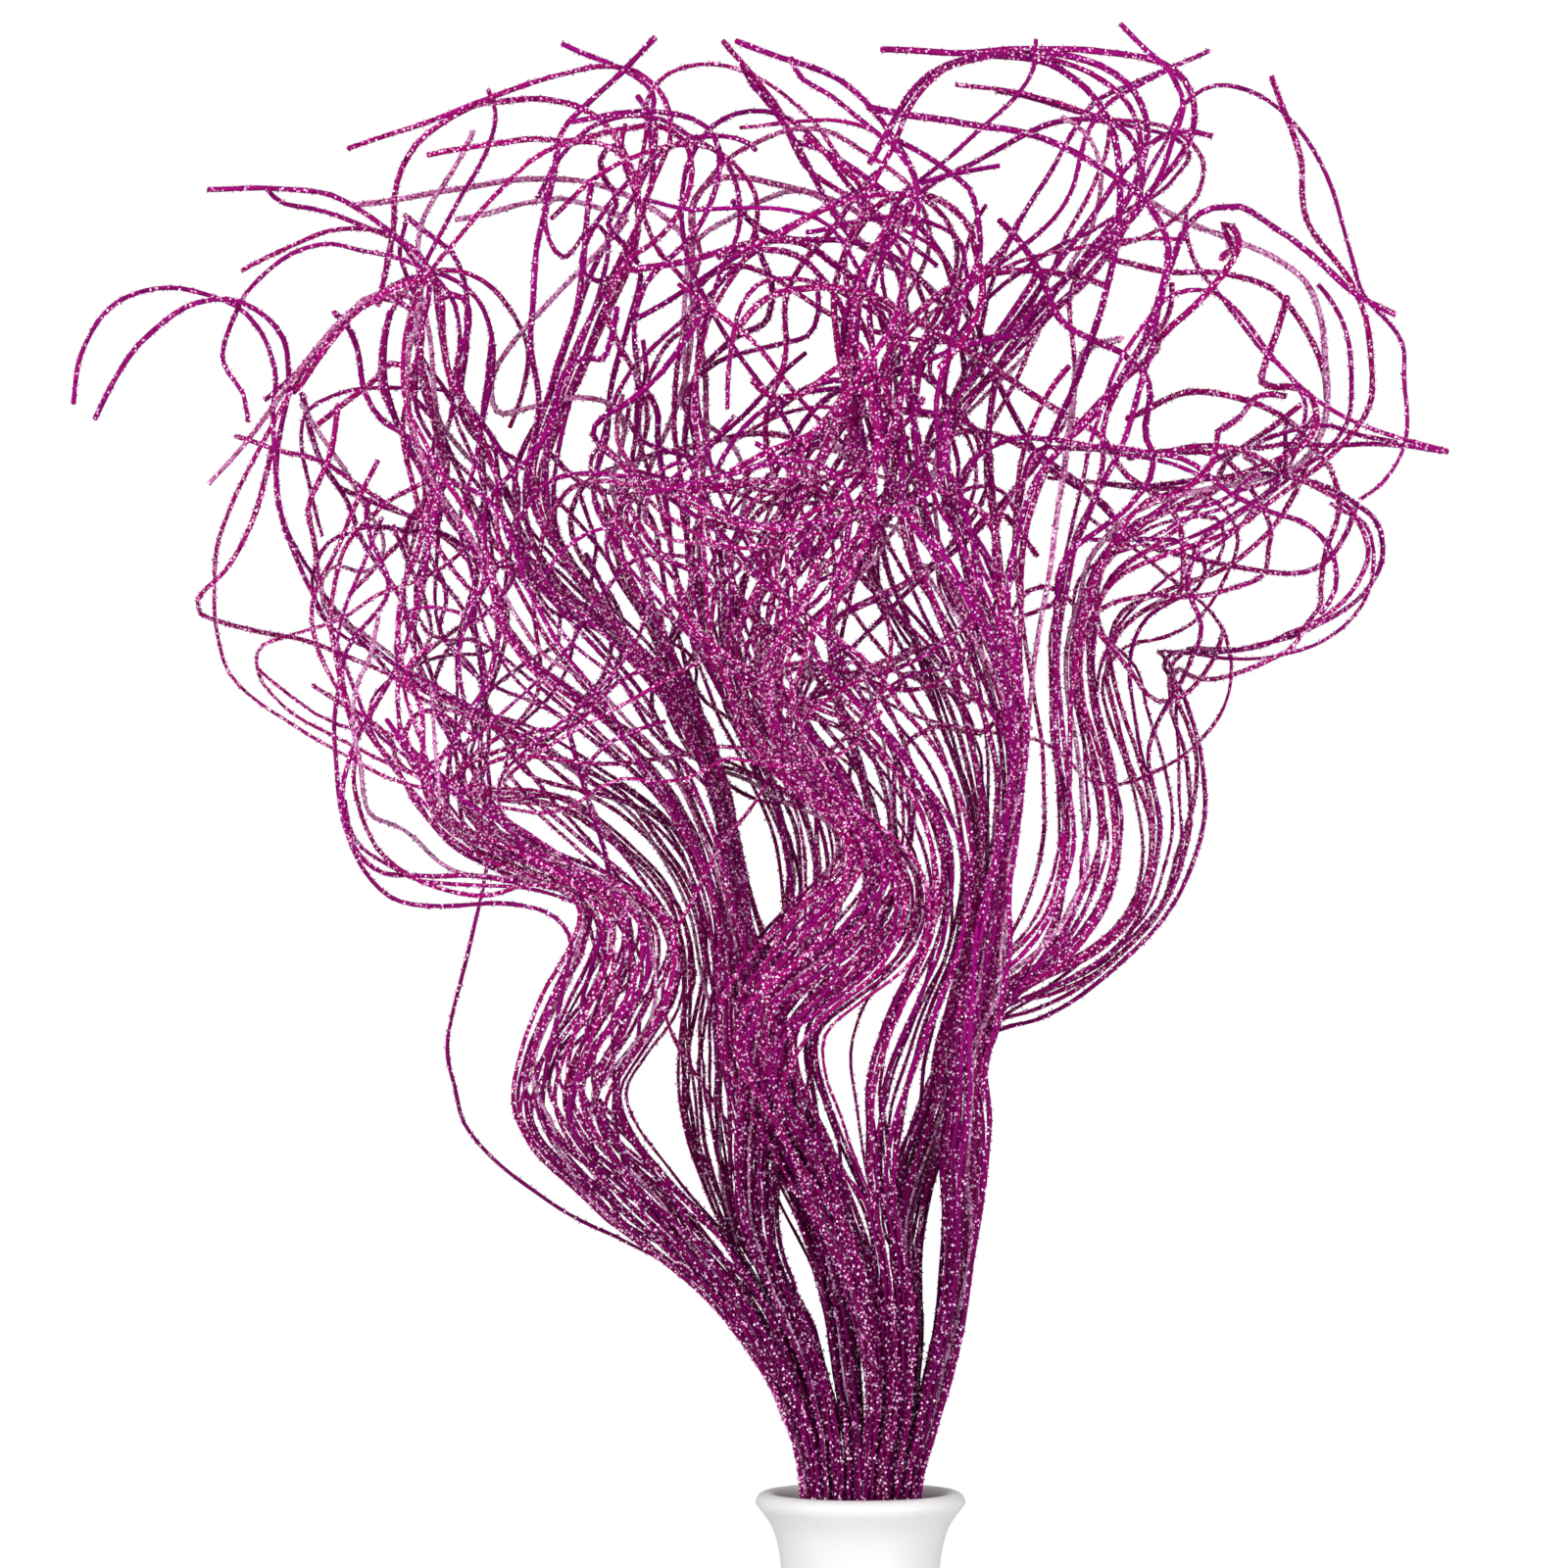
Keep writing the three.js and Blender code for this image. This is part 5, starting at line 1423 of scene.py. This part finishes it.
class TINGTING_OT_grow_locks(bpy.types.Operator):
    """Grow every lock of both bunches, with its glitter"""

    bl_idname = "tingting.grow_locks"
    bl_label = "Grow the locks"

    def execute(self, context):
        look = context.scene.strand_look
        material = glittered_reed(look)
        coating = grain_coating(look)
        noise.seed_set(look.seed)
        grown_locks = []
        for number, (bunch, lock) in enumerate((b, k) for b in BUNCHES for k in LOCKS):
            near = [in_the_lock(other, bunch) for other in LOCKS if other is not lock]
            strands = lock_strands(lock, bunch, number, sum(near, []), look)
            grown_locks.append((bunch, lock, strands))
        part_strands([line for _, _, strands in grown_locks for line in strands])
        for number, (bunch, lock, strands) in enumerate(grown_locks):
            node = f"{bunch['name']}_{lock['name']}"
            name = f"{node}_strands"
            draw = random.Random(look.seed + number)
            temporary = bpy.data.objects.new(name, lock_curve(name, strands, draw))
            modifier = temporary.modifiers.new("Coating", "NODES")
            modifier.node_group = coating
            modifier["Socket_1"] = number
            grown = baked_mesh(temporary)
            bm = butt_mesh(lock, bunch)
            bm.from_mesh(grown)
            mesh = finished_mesh(name, bm)
            placed_piece(name, mesh, material, node)
        return {"FINISHED"}


class TINGTING_OT_set_stage(bpy.types.Operator):
    """Lay the floor, hang the lights and place the camera"""

    bl_idname = "tingting.set_stage"
    bl_label = "Set the stage"

    def execute(self, context):
        look = context.scene.stage_look
        lay_floor(look)
        light_sky(context.scene, look.sky)
        hang_light("key", look.key, KEY_PLACE, KEY_SIZE)
        hang_light("fill", look.fill, FILL_PLACE, FILL_SIZE)
        place_camera(context.scene)
        context.scene.view_settings.view_transform = "Standard"
        return {"FINISHED"}


class TINGTING_PT_panel(bpy.types.Panel):
    """Sizes, colours and steps of the vase with its branches"""

    bl_idname = "TINGTING_PT_panel"
    bl_label = "Ting ting branches"
    bl_space_type = "VIEW_3D"
    bl_region_type = "UI"
    bl_category = "Ting Ting"

    def draw(self, context):
        layout = self.layout
        for group, operators in PANEL_ROWS:
            box = layout.box()
            look = getattr(context.scene, group)
            for name in look.bl_rna.properties.keys():
                if name not in ("rna_type", "name"):
                    box.prop(look, name)
            for operator in operators:
                box.operator(operator)


PANEL_ROWS = (
    ("vase_look", ("tingting.spin_vase", "tingting.bind_bunches")),
    ("strand_look", ("tingting.grow_locks",)),
    ("stage_look", ("tingting.set_stage",)),
)
CLASSES = (
    StrandLook,
    VaseLook,
    StageLook,
    TINGTING_OT_spin_vase,
    TINGTING_OT_bind_bunches,
    TINGTING_OT_grow_locks,
    TINGTING_OT_set_stage,
    TINGTING_PT_panel,
)


def register():
    """Makes the add-on's classes and settings known."""
    for made in CLASSES:
        bpy.utils.register_class(made)
    bpy.types.Scene.strand_look = bpy.props.PointerProperty(type=StrandLook)
    bpy.types.Scene.vase_look = bpy.props.PointerProperty(type=VaseLook)
    bpy.types.Scene.stage_look = bpy.props.PointerProperty(type=StageLook)


def unregister():
    """Takes the add-on's classes and settings away."""
    del bpy.types.Scene.strand_look
    del bpy.types.Scene.vase_look
    del bpy.types.Scene.stage_look
    for made in reversed(CLASSES):
        bpy.utils.unregister_class(made)


def main():
    """Builds the whole scene."""
    register()
    bpy.ops.tingting.set_stage()
    bpy.ops.tingting.spin_vase()
    bpy.ops.tingting.bind_bunches()
    bpy.ops.tingting.grow_locks()


if __name__ == "__main__":
    main()
